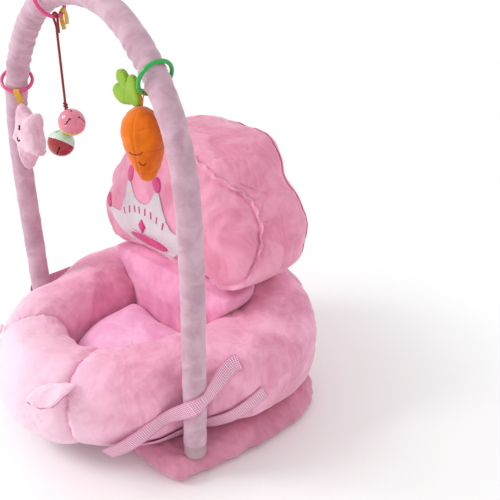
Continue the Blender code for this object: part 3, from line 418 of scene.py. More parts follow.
plush_pink = plush_finish("plush_pink", PLUSH_DEEP, PLUSH_MIDDLE, PLUSH_LIT_FRONT)
plush_base = plush_finish("plush_base", (200, 126, 152), BASE_TINT, (240, 190, 212))
base_cushion = stuffed("base_cushion", "base_cover", 0.003, 3.0, 0.006)
places, normals = skin_of(base_cushion)
rim = np.clip(1.0 - np.abs(places[:, 2] - BASE_SEAM_Z) / 0.004, 0.0, 1.0) ** 1.5
away = np.hypot(places[:, 0] / BASE_HALF_WIDTH, (places[:, 1] - BASE_MIDDLE_Y) / BASE_HALF_DEPTH)
outside = ramp(away, 0.86, 0.08)
puckers = waves(places * (1.0, 1.0, 0.3), 0.016, 3) * 0.0006 + waves(places, 0.060, 4) * 0.0012
floor_ease = ramp(places[:, 2], 0.0, 0.008)
places += normals * ((puckers * floor_ease - rim * 0.0014) * outside)[:, None]
places[:, 2] = np.maximum(places[:, 2], 0.0)
put_points(base_cushion, places)
fitted(base_cushion, "seat", "base_cushion", plush_base)


# The ring: a front roll, two arms and a back roll of the same plush, each stuffed hard and sewn to
# its neighbours, so that the cover pulls in and gathers along every joining seam.
FRONT_SEAM = math.radians(18.5)
BACK_SEAM = math.radians(128.0)
SEAT_CENTRE_Y = 0.080
RING_HEIGHT = 0.125
CORE_AHEAD = 0.31
CORE_BEHIND = 0.12
CORE_ASIDE = 0.204
SEAM_DEPTH = 0.0050
SEAM_SPREAD = 0.011
FOLD_HEIGHT = 0.0011
FOLD_REACH = 0.026


def round_the_seat(places):
    """Angle from the front about the seat's middle, and distance from it."""
    ahead = SEAT_CENTRE_Y - places[:, 1]
    return np.arctan2(places[:, 0], ahead), np.hypot(places[:, 0], ahead)


def gathered(piece, seams, seed):
    """Draw a stuffed section in along its seams and lay folds and creases on it."""
    places, normals = skin_of(piece)
    angle, reach = round_the_seat(places)
    depth = np.where(np.abs(angle) < math.pi / 2, CORE_AHEAD, CORE_BEHIND)
    core = 1.0 / np.sqrt((np.cos(angle) / depth) ** 2 + (np.sin(angle) / CORE_ASIDE) ** 2)
    turn = np.arctan2(places[:, 2] - RING_HEIGHT, reach - core)
    along = np.stack([np.cos(angle), np.sin(angle), np.zeros(len(angle))], axis=1)
    across = normals - along * np.sum(normals * along, axis=1, keepdims=True)
    move = np.zeros(len(angle))
    for seam in seams:
        run = (angle - seam) * np.maximum(reach, 0.05)
        near = np.exp(-np.abs(run) / FOLD_REACH)
        folds = np.sin(turn * 34.0 + waves(places, 0.05, seed) * 1.6) * 0.6
        folds += np.sin(turn * 19.0 + seed + waves(places, 0.09, seed + 1) * 1.2) * 0.7
        move -= SEAM_DEPTH * np.exp(-(run / SEAM_SPREAD) ** 2)
        move += folds * near * FOLD_HEIGHT * ramp(np.abs(run), 0.0, 0.004)
    inner = ramp(core - reach, 0.0, 0.05) * ramp(places[:, 2], 0.10, 0.05)
    wall = np.sin(angle * 26.0 + waves(places, 0.11, seed + 2) * 1.8)
    move += inner * (wall * 0.0011 + waves(places, 0.07, seed + 9) * 0.0010)
    outer = ramp(reach - core, 0.0, 0.05)
    low = ramp(places[:, 2], 0.19, -0.07)
    flat = places * (1.0, 1.0, 2.6)
    move -= creases(flat, 0.085, 0.08, seed + 3) * 0.0019 * outer * low
    move -= creases(flat, 0.050, 0.07, seed + 4) * 0.0011 * low
    move += waves(places, 0.10, seed + 5) * 0.0014
    move += waves(places * (1, 1, 1.6), 0.030, seed + 6) * 0.0004
    pushed(piece, places, across, move)


ring_sections = []
for node, seams, seed in (("front_roll", (-FRONT_SEAM, FRONT_SEAM), 11),
                          ("left_arm", (-FRONT_SEAM, -BACK_SEAM), 23),
                          ("right_arm", (FRONT_SEAM, BACK_SEAM), 37),
                          ("back_roll", (-BACK_SEAM, BACK_SEAM), 51)):
    section = stuffed(node, node + "_cover", 0.002, 3.5, 0.0045)
    gathered(section, seams, seed)
    fitted(section, "seat", node, plush_pink)
    ring_sections.append(section)


# The seat pad: a domed plush cushion filling the floor of the hollow, softly stuffed, its cover
# caught in the ring's inner seam so that slack lies in it as soft diagonal swells.
# Painted highlight: the seat pad is given paler tones than the ring's plush to lighten the shaded hollow.
plush_pad_lit = plush_finish("plush_pad_lit", (238, 160, 204), (253, 206, 236), (253, 214, 236), 0.8)
seat_pad = stuffed("seat_pad", "seat_pad_cover", 0.002, 3.0, 0.005)
places, normals = skin_of(seat_pad)
slack = waves(places * (1.0, 0.7, 1.0), 0.11, 61) * 0.0022 - creases(places, 0.12, 0.10, 62) * 0.0016
pushed(seat_pad, places, normals, slack * np.clip(normals[:, 2], 0.0, 1.0))
fitted(seat_pad, "seat", "seat_pad", plush_pad_lit)


# The back panel: the plush wall behind the child's waist, standing between the arms under the back
# cushion, and lightly filled, with vertical drag lines where the seams on both sides pull it.
plush_wall = plush_finish("plush_wall", (228, 146, 186), (250, 182, 216), (250, 190, 218), 0.8)
PANEL_SWELL = 1.10
back_panel = stuffed("back_panel", "back_panel_cover", 0.002, 3.0, 0.005)
places, normals = skin_of(back_panel)
drag = np.sin(places[:, 0] * 150.0 + waves(places, 0.12, 71) * 1.4) * 0.0010
drag += waves(places * (1.0, 1.0, 0.5), 0.05, 72) * 0.0008
swollen = places + normals * (drag * np.clip(-normals[:, 1], 0.0, 1.0))[:, None]
swollen[:, 0] *= PANEL_SWELL
put_points(back_panel, swollen)
fitted(back_panel, "seat", "back_panel", plush_wall)


# The back cushion: a lobed, crown-shaped pillow of plush, a front face, a deep gusset and a back
# joined by two seams, fully stuffed and standing on the ring behind the child's head.
SEAM_Y = 0.048
BACK_SEAM_Y = 0.200
CUSHION_MIDDLE_Z = 0.385
WAIST_Z = 0.438
WAIST_DEPTH = 0.0060
SEAM_HEIGHTS = (0.26, 0.29, 0.35, 0.38, 0.42, 0.445, 0.50, 0.55)
SEAM_SHIFTS = (-0.012, 0.0, 0.040, 0.048, 0.050, 0.018, 0.016, 0.010)


def seam_shift(x, z):
    """How far back the front seam wanders on the lobes' sides."""
    return np.interp(z, SEAM_HEIGHTS, SEAM_SHIFTS) * ramp(np.abs(x), 0.09, 0.07)


plush_cushion = plush_finish("plush_cushion", (222, 134, 164), (246, 172, 200), (246, 182, 208))
back_cushion = stuffed("back_cushion", "back_cushion_cover", 0.003, 4.0, 0.006)
places, normals = skin_of(back_cushion)
around = normals * (1.0, 0.0, 1.0)
turn = np.arctan2(places[:, 2] - CUSHION_MIDDLE_Z, places[:, 0])
move = np.zeros(len(places))
front_seam_y = SEAM_Y + seam_shift(places[:, 0], places[:, 2])
for seam_y, pull in ((front_seam_y, 0.0040), (BACK_SEAM_Y, 0.0035)):
    run = places[:, 1] - seam_y
    near = np.exp(-np.abs(run) / 0.022)
    folds = np.sin(turn * 61.0 + waves(places, 0.05, 81) * 1.8) * 0.6
    folds += np.sin(turn * 37.0 + waves(places, 0.08, 82) * 1.4) * 0.7
    move -= pull * np.exp(-(run / 0.007) ** 2)
    move += folds * near * 0.0009 * ramp(np.abs(run), 0.0, 0.004)
waist = np.exp(-((places[:, 2] - WAIST_Z) / 0.022) ** 2) * ramp(np.abs(places[:, 0]), 0.13, 0.04)
move -= waist * WAIST_DEPTH * ramp(places[:, 1], 0.03, 0.04)
places += around * move[:, None]
gusset = ramp(places[:, 1], 0.055, 0.03) * ramp(places[:, 1], 0.195, -0.03)
soft = waves(places, 0.12, 83) * 0.0018 + waves(places * (1, 0.6, 1), 0.045, 84) * 0.0008
soft -= creases(places * (1.0, 1.4, 1.0), 0.10, 0.07, 85) * 0.0024 * gusset
soft -= creases(places, 0.05, 0.07, 86) * 0.0011 * gusset
pushed(back_cushion, places, normals, soft)
fitted(back_cushion, "seat", "back_cushion", plush_cushion)


# The frill: a folded strip of thin plush caught in the cushion's front seam, standing 8 mm proud
# and waving from side to side because it is cut longer than the seam it is sewn into.
FRILL_HEIGHT = 0.0085
FRILL_THICKNESS = 0.003
FRILL_ROOT = 0.0040
FRILL_LOW_Z = 0.2700
FRILL_STEP = 0.0018
PIPING_RADIUS = 0.0018


def tree_of(*pieces):
    """One search tree over the surfaces of several pieces."""
    corners = []
    faces = []
    for piece in pieces:
        first = len(corners)
        corners += [piece.matrix_world @ v.co for v in piece.data.vertices]
        faces += [[first + i for i in p.vertices] for p in piece.data.polygons]
    return BVHTree.FromPolygons(corners, faces)


def distances(points):
    """How far along a row of points each one lies."""
    found = [0.0]
    for before, after in zip(points, points[1:]):
        found.append(found[-1] + (after - before).length)
    return found


def strip_mesh(name, rows):
    """A quad strip from rows of equally many points, with a UV map in metres."""
    count = len(rows[0])
    corners = [tuple(point) for row in rows for point in row]
    faces = []
    for i in range(len(rows) - 1):
        for j in range(count - 1):
            a = i * count + j
            b = a + count
            faces.append((a, a + 1, b + 1, b))
    mesh = bpy.data.meshes.new(name)
    mesh.from_pydata(corners, [], faces)
    along = distances([row[count // 2] for row in rows])
    width = distances(rows[0])
    layer = mesh.uv_layers.new(name="UVMap")
    for face in mesh.polygons:
        for loop in face.loop_indices:
            row, column = divmod(mesh.loops[loop].vertex_index, count)
            layer.data[loop].uv = (along[row], width[column])
    made = bpy.data.objects.new(name, mesh)
    bpy.context.scene.collection.objects.link(made)
    return made


def seam_line(count, seam_y, wandering):
    """Where rays from the cushion's middle meet its cover at a seam, each with the ray's way."""
    line = []
    for step in range(count):
        turn = math.radians(-90) - 2 * math.pi * step / count
        way = Vector((math.cos(turn), 0.0, math.sin(turn)))
        spot = cushion_tree.ray_cast(Vector((0.0, seam_y, CUSHION_MIDDLE_Z)), way)[0]
        if wandering and spot is not None:
            shifted_y = seam_y + float(seam_shift(spot.x, spot.z))
            spot = cushion_tree.ray_cast(Vector((0.0, shifted_y, CUSHION_MIDDLE_Z)), way)[0]
        if spot is not None and spot.z > FRILL_LOW_Z:
            line.append((spot, way))
    return line


cushion_tree = tree_of(back_cushion)
frill_path = seam_line(1440, SEAM_Y, True)
even_path = [frill_path[0]]
for point, way in frill_path[1:]:
    if (point - even_path[-1][0]).length >= FRILL_STEP:
        even_path.append((point, way))
frill_rows = []
run = 0.0
for i, (point, way) in enumerate(even_path):
    before = even_path[max(0, i - 4)][0]
    after = even_path[min(len(even_path) - 1, i + 4)][0]
    run += (point - even_path[max(0, i - 1)][0]).length
    tangent = (after - before).normalized()
    outward = tangent.cross(Vector((0.0, 1.0, 0.0))).normalized()
    if outward.dot(way) < 0:
        outward = -outward
    ease = 0.30 + 0.70 * min(1.0, max(0.0, (point.x + 0.06) / 0.10))
    sway = 0.0030 * ease * math.sin(run * 250.0 + 1.3 * math.sin(run * 61.0))
    height = FRILL_HEIGHT * (0.70 + 0.30 * ease) * (1.0 + 0.12 * ease * math.sin(run * 170.0 + 2.0))
    row = [point - outward * FRILL_ROOT]
    for rise in (0.0, 0.33, 0.66, 0.9, 1.0):
        row.append(point + outward * (rise * height) + Vector((0.0, sway * rise ** 1.4, 0.0)))
    frill_rows.append(row)
frill = strip_mesh("seam_frill", frill_rows)
plush_frill = plush_finish("plush_frill", (214, 138, 168), (244, 176, 204), (246, 190, 214))
applied(frill, "SOLIDIFY", thickness=FRILL_THICKNESS, offset=0.0)
applied(frill, "SUBSURF", levels=1)
smooth_shaded(frill)
fitted(frill, "seat", "seam_ruffle", plush_frill)
plush_piping = plush_finish("plush_piping", (196, 92, 134), (216, 112, 152), (220, 130, 164))
piping_path = [tuple(spot + way * 0.0004) for spot, way in seam_line(480, BACK_SEAM_Y, False)]
fitted(curve_through("back_piping", piping_path, PIPING_RADIUS, plush_piping), "seat")


# The crown: white satin cut as a four-pointed crown and sewn flat on the cushion's face with a raised
# edge of stitches. Jewels, an oval band and a diamond of magenta satin lie on it, sewn on the same way,
# with stitched bars and scallops beside them.
SATIN_THICKNESS = 0.0012
SATIN_GRID = 0.0045
CROWN_TIPS = ((-1.0, 0.335), (-1 / 3, 0.410), (1 / 3, 0.410), (1.0, 0.335))
CROWN_FOOT_Z = 0.288
HIGH_VALLEY_Z = 0.378
LOW_VALLEY_Z = 0.342
CROWN_MIDDLE_X = -0.017
CROWN_HALF = 0.133
CROWN_FOOT_HALF = 0.062
CROWN_TIP_HALF = 0.004
BAR_HALF = 0.0065
BAR_STEP = 0.058 / 3.5
SCALLOP_STEP = 0.0105
SCALLOP_Z = 0.3215
SATIN_NAMES = {"crown_applique": "crown_satin"}
SATIN_WHITE = (232, 224, 230)
MAGENTA = (228, 40, 136)


def satin_finish(name, low, high, ribs):
    """Satin stitch: close parallel threads, lighter on their crowns and darker between them as painted
    shade, with a soft shine.
    """
    finish = Finish(name)
    place = finish.place()
    x, _, z = finish.parts(place)
    threads = finish.absolute(finish.sine(x * ribs + z * (ribs * 0.25)))
    cloud = finish.noise(place, 45.0, 3.0)
    # Painted shade: the colour follows the threads' bump, darker in the grooves between them; the cloud
    # adds random tone.
    colour = finish.colour(threads * 0.4 + cloud * 0.6, from_screen(*low), from_screen(*high))
    return finish.surface(colour, 0.5, threads * 0.5 + cloud * 0.5, 0.0004, Sheen_Weight=0.2)


satin_white = satin_finish("satin_white", (206, 196, 204), SATIN_WHITE, 2200.0)
satin_magenta = satin_finish("satin_magenta", (206, 34, 120), MAGENTA, 2600.0)
SATINS = {"satin_white": satin_white, "satin_magenta": satin_magenta}


def cut_crown():
    """Four slim points with round valleys between them, over a narrower foot."""
    tips = [(CROWN_MIDDLE_X + CROWN_HALF * share, z) for share, z in CROWN_TIPS]
    cut = [(CROWN_MIDDLE_X - CROWN_FOOT_HALF, CROWN_FOOT_Z)]
    for (x, z), onward in zip(tips, tips[1:] + [None]):
        cut += [(x - CROWN_TIP_HALF, z), (x + CROWN_TIP_HALF, z)]
        if onward:
            floor_z = HIGH_VALLEY_Z if min(z, onward[1]) > HIGH_VALLEY_Z else LOW_VALLEY_Z
            span = onward[0] - x - 2 * CROWN_TIP_HALF
            for share in (0.10, 0.20, 0.32, 0.44, 0.56, 0.68, 0.80, 0.90):
                side = z if share < 0.5 else onward[1]
                steep = abs(2 * share - 1) ** 2.6
                cut.append((x + CROWN_TIP_HALF + span * share, floor_z + (side - floor_z) * steep))
    cut.append((CROWN_MIDDLE_X + CROWN_FOOT_HALF, CROWN_FOOT_Z))
    return cut


def cut_oval(x, z, half_width, half_height, count=28):
    return [(x + half_width * math.cos(2 * math.pi * i / count),
             z + half_height * math.sin(2 * math.pi * i / count)) for i in range(count)]


def face_y(x, z):
    """Where the cushion's face lies behind a place seen from the front, or None beside it."""
    spot = cushion_tree.ray_cast(Vector((x, -0.2, z)), Vector((0.0, 1.0, 0.0)))[0]
    return None if spot is None else spot.y


def rim_of(mesh):
    """The points round a flat mesh's open edge, in order."""
    used = {}
    for face in mesh.polygons:
        for key in face.edge_keys:
            used[key] = used.get(key, 0) + 1
    joined = {}
    for a, b in [key for key, count in used.items() if count == 1]:
        joined.setdefault(a, []).append(b)
        joined.setdefault(b, []).append(a)
    chain = [next(iter(joined))]
    onward = joined[chain[0]]
    while onward:
        chain.append(onward[0])
        onward = [corner for corner in joined[chain[-1]] if corner not in chain]
    return chain


def sewn_on(node, lift, slot, edge_radius, cut=None):
    """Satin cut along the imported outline, or a given one, laid on the cushion and stitched round."""
    name = SATIN_NAMES.get(node, node + "_satin")
    piece = copied(node, name)
    skin = bmesh.new()
    if cut is None:
        skin.from_mesh(piece.data)
        skin.normal_update()
        hidden = [face for face in skin.faces if face.normal.y > -0.2]
        bmesh.ops.delete(skin, geom=hidden, context="FACES")
        bmesh.ops.subdivide_edges(skin, edges=list(skin.edges), cuts=1, use_grid_fill=True)
    else:
        flat = [Vector(point) for point in cut]
        low_x, high_x = min(p.x for p in flat), max(p.x for p in flat)
        low_z, high_z = min(p.y for p in flat), max(p.y for p in flat)
        filling = [Vector((x, z)) for x in np.arange(low_x, high_x, SATIN_GRID)
                   for z in np.arange(low_z, high_z, SATIN_GRID)]
        spots, _, triangles, *_ = delaunay_2d_cdt(flat + filling, [], [list(range(len(flat)))], 1, 1e-6)
        corners = [skin.verts.new((spot.x, 0.0, spot.y)) for spot in spots]
        for triangle in triangles:
            skin.faces.new([corners[i] for i in triangle])
        loose = [corner for corner in skin.verts if not corner.link_faces]
        bmesh.ops.delete(skin, geom=loose, context="VERTS")
        for face in skin.faces:
            if face.normal.y > 0:
                face.normal_flip()
    skin.to_mesh(piece.data)
    skin.free()
    for corner in piece.data.vertices:
        on_face = face_y(corner.co.x, corner.co.z)
        if on_face is not None:
            corner.co.y = on_face - lift
    applied(piece, "SMOOTH", factor=0.5, iterations=4, use_x=False, use_z=False)
    area = sum(face.area for face in piece.data.polygons)
    rim = [tuple(piece.data.vertices[i].co + Vector((0.0, -0.0002, 0.0))) for i in rim_of(piece.data)]
    applied(piece, "SOLIDIFY", thickness=SATIN_THICKNESS, offset=1.0)
    smooth_shaded(piece)
    fitted(piece, "seat", node, SATINS[slot])
    edge = curve_through(name + "_edge", rim, edge_radius, SATINS[slot], cyclic=True)
    fitted(edge, "seat")
    return piece, edge, area


crown, crown_edge, crown_area = sewn_on("crown_applique", 0.0014, "satin_white", 0.0013,
                                        cut_crown())
on_crown = [crown_edge]
band_cut = cut_oval(CROWN_MIDDLE_X, 0.3035, 0.054, 0.0125)
for node, lift, cut in (("crown_gem_1", 0.0008, None), ("crown_gem_2", 0.0008, None),
                        ("crown_gem_3", 0.0008, None), ("crown_gem_4", 0.0008, None),
                        ("crown_band", 0.0030, band_cut), ("crown_diamond", 0.0030, None)):
    on_crown += sewn_on(node, lift, "satin_magenta", 0.0009, cut)[:2]


def stitched(name, flat_points, lift, radius):
    """A line of magenta stitches laid on the crown through points seen from the front."""
    line = [(x, face_y(x, z) - lift, z) for x, z in flat_points]
    stitch = curve_through(name, line, radius, satin_magenta)
    fitted(stitch, "seat")
    on_crown.append(stitch)


for index in range(8):
    share = (index - 3.5) / 3.5
    x = CROWN_MIDDLE_X + (index - 3.5) * BAR_STEP
    z = 0.352 + 0.014 * (1 - share ** 2)
    reach_x = BAR_HALF * math.sin(share * 0.22)
    reach_z = BAR_HALF * math.cos(share * 0.22)
    bar = [(x - reach_x, z - reach_z), (x + reach_x, z + reach_z)]
    stitched(f"crown_bar_{index + 1}", bar, 0.0024, 0.0016)
for index in range(7):
    x = CROWN_MIDDLE_X + (index - 3) * SCALLOP_STEP
    scallop = [(x + 0.0036 * math.cos(turn), SCALLOP_Z + 0.0042 * math.sin(turn))
               for turn in np.linspace(math.pi, 2 * math.pi, 5)]
    stitched(f"crown_scallop_{index + 1}", scallop, 0.0022, 0.0008)


# The arch: a bent plastic tube in a foam sleeve, both hidden in a tight tube of thin pink plush. Where
# the arch bends the cloth bunches on the inside in short cross folds, and low swells spiral round it.
SLEEVE_RADIUS = 0.019
SLEEVE_LEAST = 0.0181
SLEEVE_STEP = 0.0022
ARCH_STEPS = 720
ARCH_Y = -0.100
ARCH_HALF = 0.2547
LEG_FOOT_X = 0.2452
LEG_FOOT_Z = 0.072
SHOULDER_Z = 0.430
ARCH_RISE = 0.309
ARCH_POWER = 2.14
CAP_LINE_Z = 0.0590


def leg_line(height):
    """How far from the middle a leg stands at a height."""
    share = min(1.0, max(0.0, (height - LEG_FOOT_Z) / (SHOULDER_Z - LEG_FOOT_Z)))
    return ARCH_HALF - (ARCH_HALF - LEG_FOOT_X) * (1.0 - share) ** 2


sleeve_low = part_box("arch_cover")[0].z
arch_line = [Vector((-leg_line(z), ARCH_Y, z)) for z in np.linspace(sleeve_low, SHOULDER_Z, 180)]
for step in range(1, ARCH_STEPS):
    turn = math.pi * step / ARCH_STEPS
    across = -math.copysign(abs(math.cos(turn)) ** (2 / ARCH_POWER), math.cos(turn))
    rise = abs(math.sin(turn)) ** (2 / ARCH_POWER)
    arch_line.append(Vector((ARCH_HALF * across, ARCH_Y, SHOULDER_Z + ARCH_RISE * rise)))
arch_line += [Vector((leg_line(z), ARCH_Y, z)) for z in np.linspace(SHOULDER_Z, sleeve_low, 180)]
even_line = [arch_line[0]]
run = 0.0
for before, after in zip(arch_line, arch_line[1:]):
    gap = (after - before).length
    while run + gap >= SLEEVE_STEP:
        share = (SLEEVE_STEP - run) / gap
        before = before.lerp(after, share)
        even_line.append(before)
        gap = (after - before).length
        run = 0.0
    run += gap
if (even_line[-1] - arch_line[-1]).length > 0.0008:
    even_line.append(arch_line[-1])
nip_places = [(Vector((-0.2247, ARCH_Y, 0.5871)), 0.0016), (Vector((-0.0742, ARCH_Y, 0.7285)), 0.0014),
              (Vector((0.1944, ARCH_Y, 0.6403)), 0.0012)]
AROUND = 56
sleeve_rows = []
bend_left = Vector((-0.19, ARCH_Y, 0.66))
bend_right = Vector((0.185, ARCH_Y, 0.665))
dice = np.random.default_rng(5)
phases = dice.uniform(0, 2 * math.pi, 12)
for i, point in enumerate(even_line):
    run = i * SLEEVE_STEP
    before = even_line[max(0, i - 3)]
    after = even_line[min(len(even_line) - 1, i + 3)]
    tangent = (after - before).normalized()
    side = Vector((0.0, 1.0, 0.0))
    outward = tangent.cross(side).normalized()
    if outward.dot(point - Vector((0.0, ARCH_Y, 0.40))) < 0:
        outward = -outward
    bunch = math.exp(-((point - bend_left).length / 0.095) ** 2)
    bunch += math.exp(-((point - bend_right).length / 0.075) ** 2)
    bunch += 0.35 * math.exp(-((point - nip_places[0][0]).length / 0.06) ** 2)
    nip = sum(pull * math.exp(-((point - place).length / 0.007) ** 2) for place, pull in nip_places)
    row = []
    for j in range(AROUND + 1):
        turn = 2 * math.pi * j / AROUND
        inner = 0.5 - 0.5 * math.cos(turn)
        drift = 0.9 * math.sin(run * 38 + phases[0]) + 0.5 * math.sin(run * 91 + turn + phases[1])
        fold = math.sin(run * 330 + drift + 0.8 * math.sin(turn * 2 + phases[2]))
        fold += 0.6 * math.sin(run * 520 + turn * 1.0 + phases[3] + drift)
        spiral = math.sin(run * 120 + turn * 2 + phases[4] + 0.7 * math.sin(run * 23))
        spiral += 0.6 * math.sin(run * 210 - turn * 1.0 + phases[5])
        swell = math.sin(run * 27 + phases[6]) * math.sin(turn + phases[7])
        radius = SLEEVE_RADIUS - 0.0004 - nip
        radius += bunch * (fold * 0.0012 * (0.25 + 0.75 * inner ** 1.2) + 0.0011 * inner)
        radius += spiral * 0.00035 + swell * 0.00045
        radius = max(radius, SLEEVE_LEAST)
        row.append(point + (outward * math.cos(turn) + side * math.sin(turn)) * radius)
    sleeve_rows.append(row)
sleeve = strip_mesh("arch_sleeve", sleeve_rows)
sleeve_finish = Finish("sleeve_plush")
grain = sleeve_finish.noise(sleeve_finish.scaled(sleeve_finish.laid(), (1.0, 0.12, 1.0)), 420.0, 3.0)
mottle = sleeve_finish.share(sleeve_finish.noise(sleeve_finish.place(), 34.0, 4.0, 0.6), 0.3, 0.7)
colour = sleeve_finish.colour(mottle * 0.55 + grain * 0.35, from_screen(180, 140, 158),
                              from_screen(218, 184, 199))
fuzz = sleeve_finish.noise(sleeve_finish.place(), 1700.0)
sleeve_plush = sleeve_finish.surface(colour, 0.9, grain * 0.5 + fuzz * 0.18, 0.0007,
                                     Sheen_Weight=0.4, Specular_IOR_Level=0.15)
smooth_shaded(sleeve)
fitted(sleeve, "arch", "arch_cover", sleeve_plush)


def speckled_finish(name, scale, detail, low, high, roughness, depth=None, **constants):
    """Two tones mixed by a noise, which also makes the surface uneven where a depth is given."""
    finish = Finish(name)
    specks = finish.noise(finish.place(), scale, detail)
    colour = finish.colour(specks, low, high)
    if depth is None:
        return finish.surface(colour, roughness, **constants)
    return finish.surface(colour, roughness, specks, depth, **constants)


def painted(node, material):
    """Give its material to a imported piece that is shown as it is."""
    nodes[node].data.materials.clear()
    nodes[node].data.materials.append(material)


painted("arch_foam", speckled_finish("foam_grey", 700.0, 3.0, from_screen(150, 150, 150),
                                     from_screen(190, 190, 190), 0.95, 0.0006))
painted("arch_tube", speckled_finish("tube_plastic", 60.0, 4.0, from_screen(205, 205, 205),
                                     from_screen(225, 225, 225), 0.45))
cap_finish = Finish("cap_plastic")
_, _, cap_z = cap_finish.parts(cap_finish.place())
cap_cloud = cap_finish.noise(cap_finish.place(), 70.0, 3.0)
cap_line = cap_finish.share(cap_finish.absolute(cap_z - CAP_LINE_Z), 0.0004, 0.0010)
cap_colour = cap_finish.colour(cap_cloud, from_screen(164, 136, 144), from_screen(188, 160, 168))
cap_plastic = cap_finish.surface(cap_colour, 0.5, cap_line * 0.8 + cap_cloud * 0.2, 0.0006)
for node in ("left_end_cap", "right_end_cap"):
    painted(node, cap_plastic)


# The webbing loops: 30 mm polypropylene tape in pink, woven open with a firm edge. Each end is sewn
# into the ring's cover; the upper tape passes over the arch leg and the lower one behind it.
WEBBING_WIDTH = 0.030
WEBBING_THICKNESS = 0.0014
WEAVE_PITCH = 0.0070
WEBBING_STEP = 0.0025
WEBBING_COLUMNS = 6
WEBBING_LIFT = 0.0016
LEG_NEAR_Y = -0.130
LEG_FAR_Y = -0.060
UPPER_PATH = [((0.2618, -0.0152, 0.1874), (0.759, -0.261, 0.597)),
              ((0.2574, -0.0348, 0.1811), (0.749, -0.444, 0.492)),
              ((0.2698, -0.0941, 0.1590), (0.961, 0.276, 0.0)),
              ((0.2705, -0.1019, 0.1560), (0.996, -0.087, 0.0)),
              ((0.2682, -0.1094, 0.1520), (0.899, -0.438, 0.0)),
              ((0.2634, -0.1157, 0.1480), (0.682, -0.731, 0.0)),
              ((0.2573, -0.1195, 0.1430), (0.407, -0.914, 0.0)),
              ((0.2156, -0.1415, 0.1119), (0.967, -0.250, -0.049)),
              ((0.2020, -0.1765, 0.0900), (0.840, -0.520, -0.140)),
              ((0.1830, -0.1975, 0.0700), (0.760, -0.600, -0.240)),
              ((0.1600, -0.2130, 0.0520), (0.690, -0.640, -0.330))]
LEFT_START = [((0.2750, -0.0200, 0.1630), (0.900, -0.250, 0.350)),
              ((0.2715, -0.0480, 0.1620), (0.900, -0.360, 0.250))]
LOWER_PATH = [((0.2863, 0.0192, 0.1240), (0.984, -0.177, -0.005)),
              ((0.2788, -0.0105, 0.1078), (0.956, -0.276, -0.098)),
              ((0.2643, -0.0380, 0.0914), (0.829, -0.502, -0.245)),
              ((0.2396, -0.0591, 0.0771), (0.620, -0.688, -0.378)),
              ((0.2171, -0.0773, 0.0668), (0.781, -0.372, -0.502)),
              ((0.2075, -0.1053, 0.0607), (0.833, -0.096, -0.544)),
              ((0.1972, -0.1378, 0.0565), (0.696, -0.254, -0.671)),
              ((0.1790, -0.1654, 0.0533), (0.551, -0.369, -0.748))]


def webbing_finish():
    """An open weave whose crossing knot tops carry a pale painted highlight on a darker ground, between
    two firm edges.
    """
    finish = Finish("webbing")
    u, v, _ = finish.parts(finish.laid())
    rows = finish.sine(u * 2 * math.pi / WEAVE_PITCH)
    picks = finish.sine(v * 2 * math.pi / WEAVE_PITCH)
    # Painted highlight: the raised knot tops of the weave are turned paler than the tape.
    knot_highlight = finish.share(finish.absolute(rows * picks), 0.25, 0.8)
    aside = finish.absolute(v - WEBBING_WIDTH / 2)
    edge = finish.share(aside, WEBBING_WIDTH * 0.43, WEBBING_WIDTH * 0.46)
    wear = finish.noise(finish.place(), 50.0, 3.0)
    ground = finish.colour(wear, from_screen(206, 122, 164), from_screen(226, 146, 184))
    woven = finish.colour(knot_highlight * (1.0 - edge) * 0.90, ground, from_screen(255, 232, 242))
    colour = finish.colour(edge * 0.5, woven, from_screen(242, 160, 198))
    height = finish.absolute(rows * picks) * (1.0 - edge) + edge * 0.6
    return finish.surface(colour, 0.6, height, 0.0007, Sheen_Weight=0.1)


def smooth_path(path, step):
    """Points and face normals every step along a path of a few of them."""
    points = [Vector(p) for p, _ in path]
    faces = [Vector(n) for _, n in path]
    out = []
    for i in range(len(points) - 1):
        a = points[max(0, i - 1)]
        b, c = points[i], points[i + 1]
        d = points[min(len(points) - 1, i + 2)]
        count = max(2, int((c - b).length / step))
        for k in range(count):
            t = k / count
            spot = 0.5 * ((2 * b) + (c - a) * t + (2 * a - 5 * b + 4 * c - d) * t * t
                          + (3 * b - a - 3 * c + d) * t ** 3)
            out.append((spot, faces[i].lerp(faces[i + 1], t).normalized()))
    out.append((points[-1], faces[-1]))
    return out


webbing = webbing_finish()
ring_tree = tree_of(*ring_sections)
for side, side_name in ((1.0, "right"), (-1.0, "left")):
    mirror = Vector((side, 1.0, 1.0))
    for level, path in (("upper", UPPER_PATH), ("lower", LOWER_PATH)):
        if (side_name, level) == ("left", "upper"):
            path = LEFT_START + path[2:]
        rows = []
        line = smooth_path(path, WEBBING_STEP)
        for i, (spot, face) in enumerate(line):
            along = (line[min(len(line) - 1, i + 1)][0] - line[max(0, i - 1)][0]).normalized()
            facing = (face - along * face.dot(along)).normalized()
            across = along.cross(facing)
            outward = facing * mirror
            on_leg = level == "upper" and LEG_NEAR_Y < spot.y < LEG_FAR_Y
            row = []
            for j in range(WEBBING_COLUMNS + 1):
                offset = (j / WEBBING_COLUMNS - 0.5) * WEBBING_WIDTH
                point = (spot + across * offset) * mirror
                below = ring_tree.ray_cast(point + outward * 0.03, -outward, 0.045)[0]
                if below is not None and not on_leg and (point - below).dot(outward) < WEBBING_LIFT:
                    point = below + outward * WEBBING_LIFT
                row.append(point)
            rows.append(row)
        strap = strip_mesh(f"{side_name}_{level}_tape", rows)
        applied(strap, "SMOOTH", factor=0.5, iterations=3)
        applied(strap, "SOLIDIFY", thickness=WEBBING_THICKNESS, offset=0.0)
        smooth_shaded(strap)
        fitted(strap, "seat", f"{side_name}_{level}_strap", webbing)


# The ears: two small flaps on the front roll, pale plush on top and a deeper pink lining under it,
# sewn along their edges, turned out and caught in the roll's cover at their root.
EAR_MIDDLE_X = 0.105
EAR_TIP_Y = -0.245


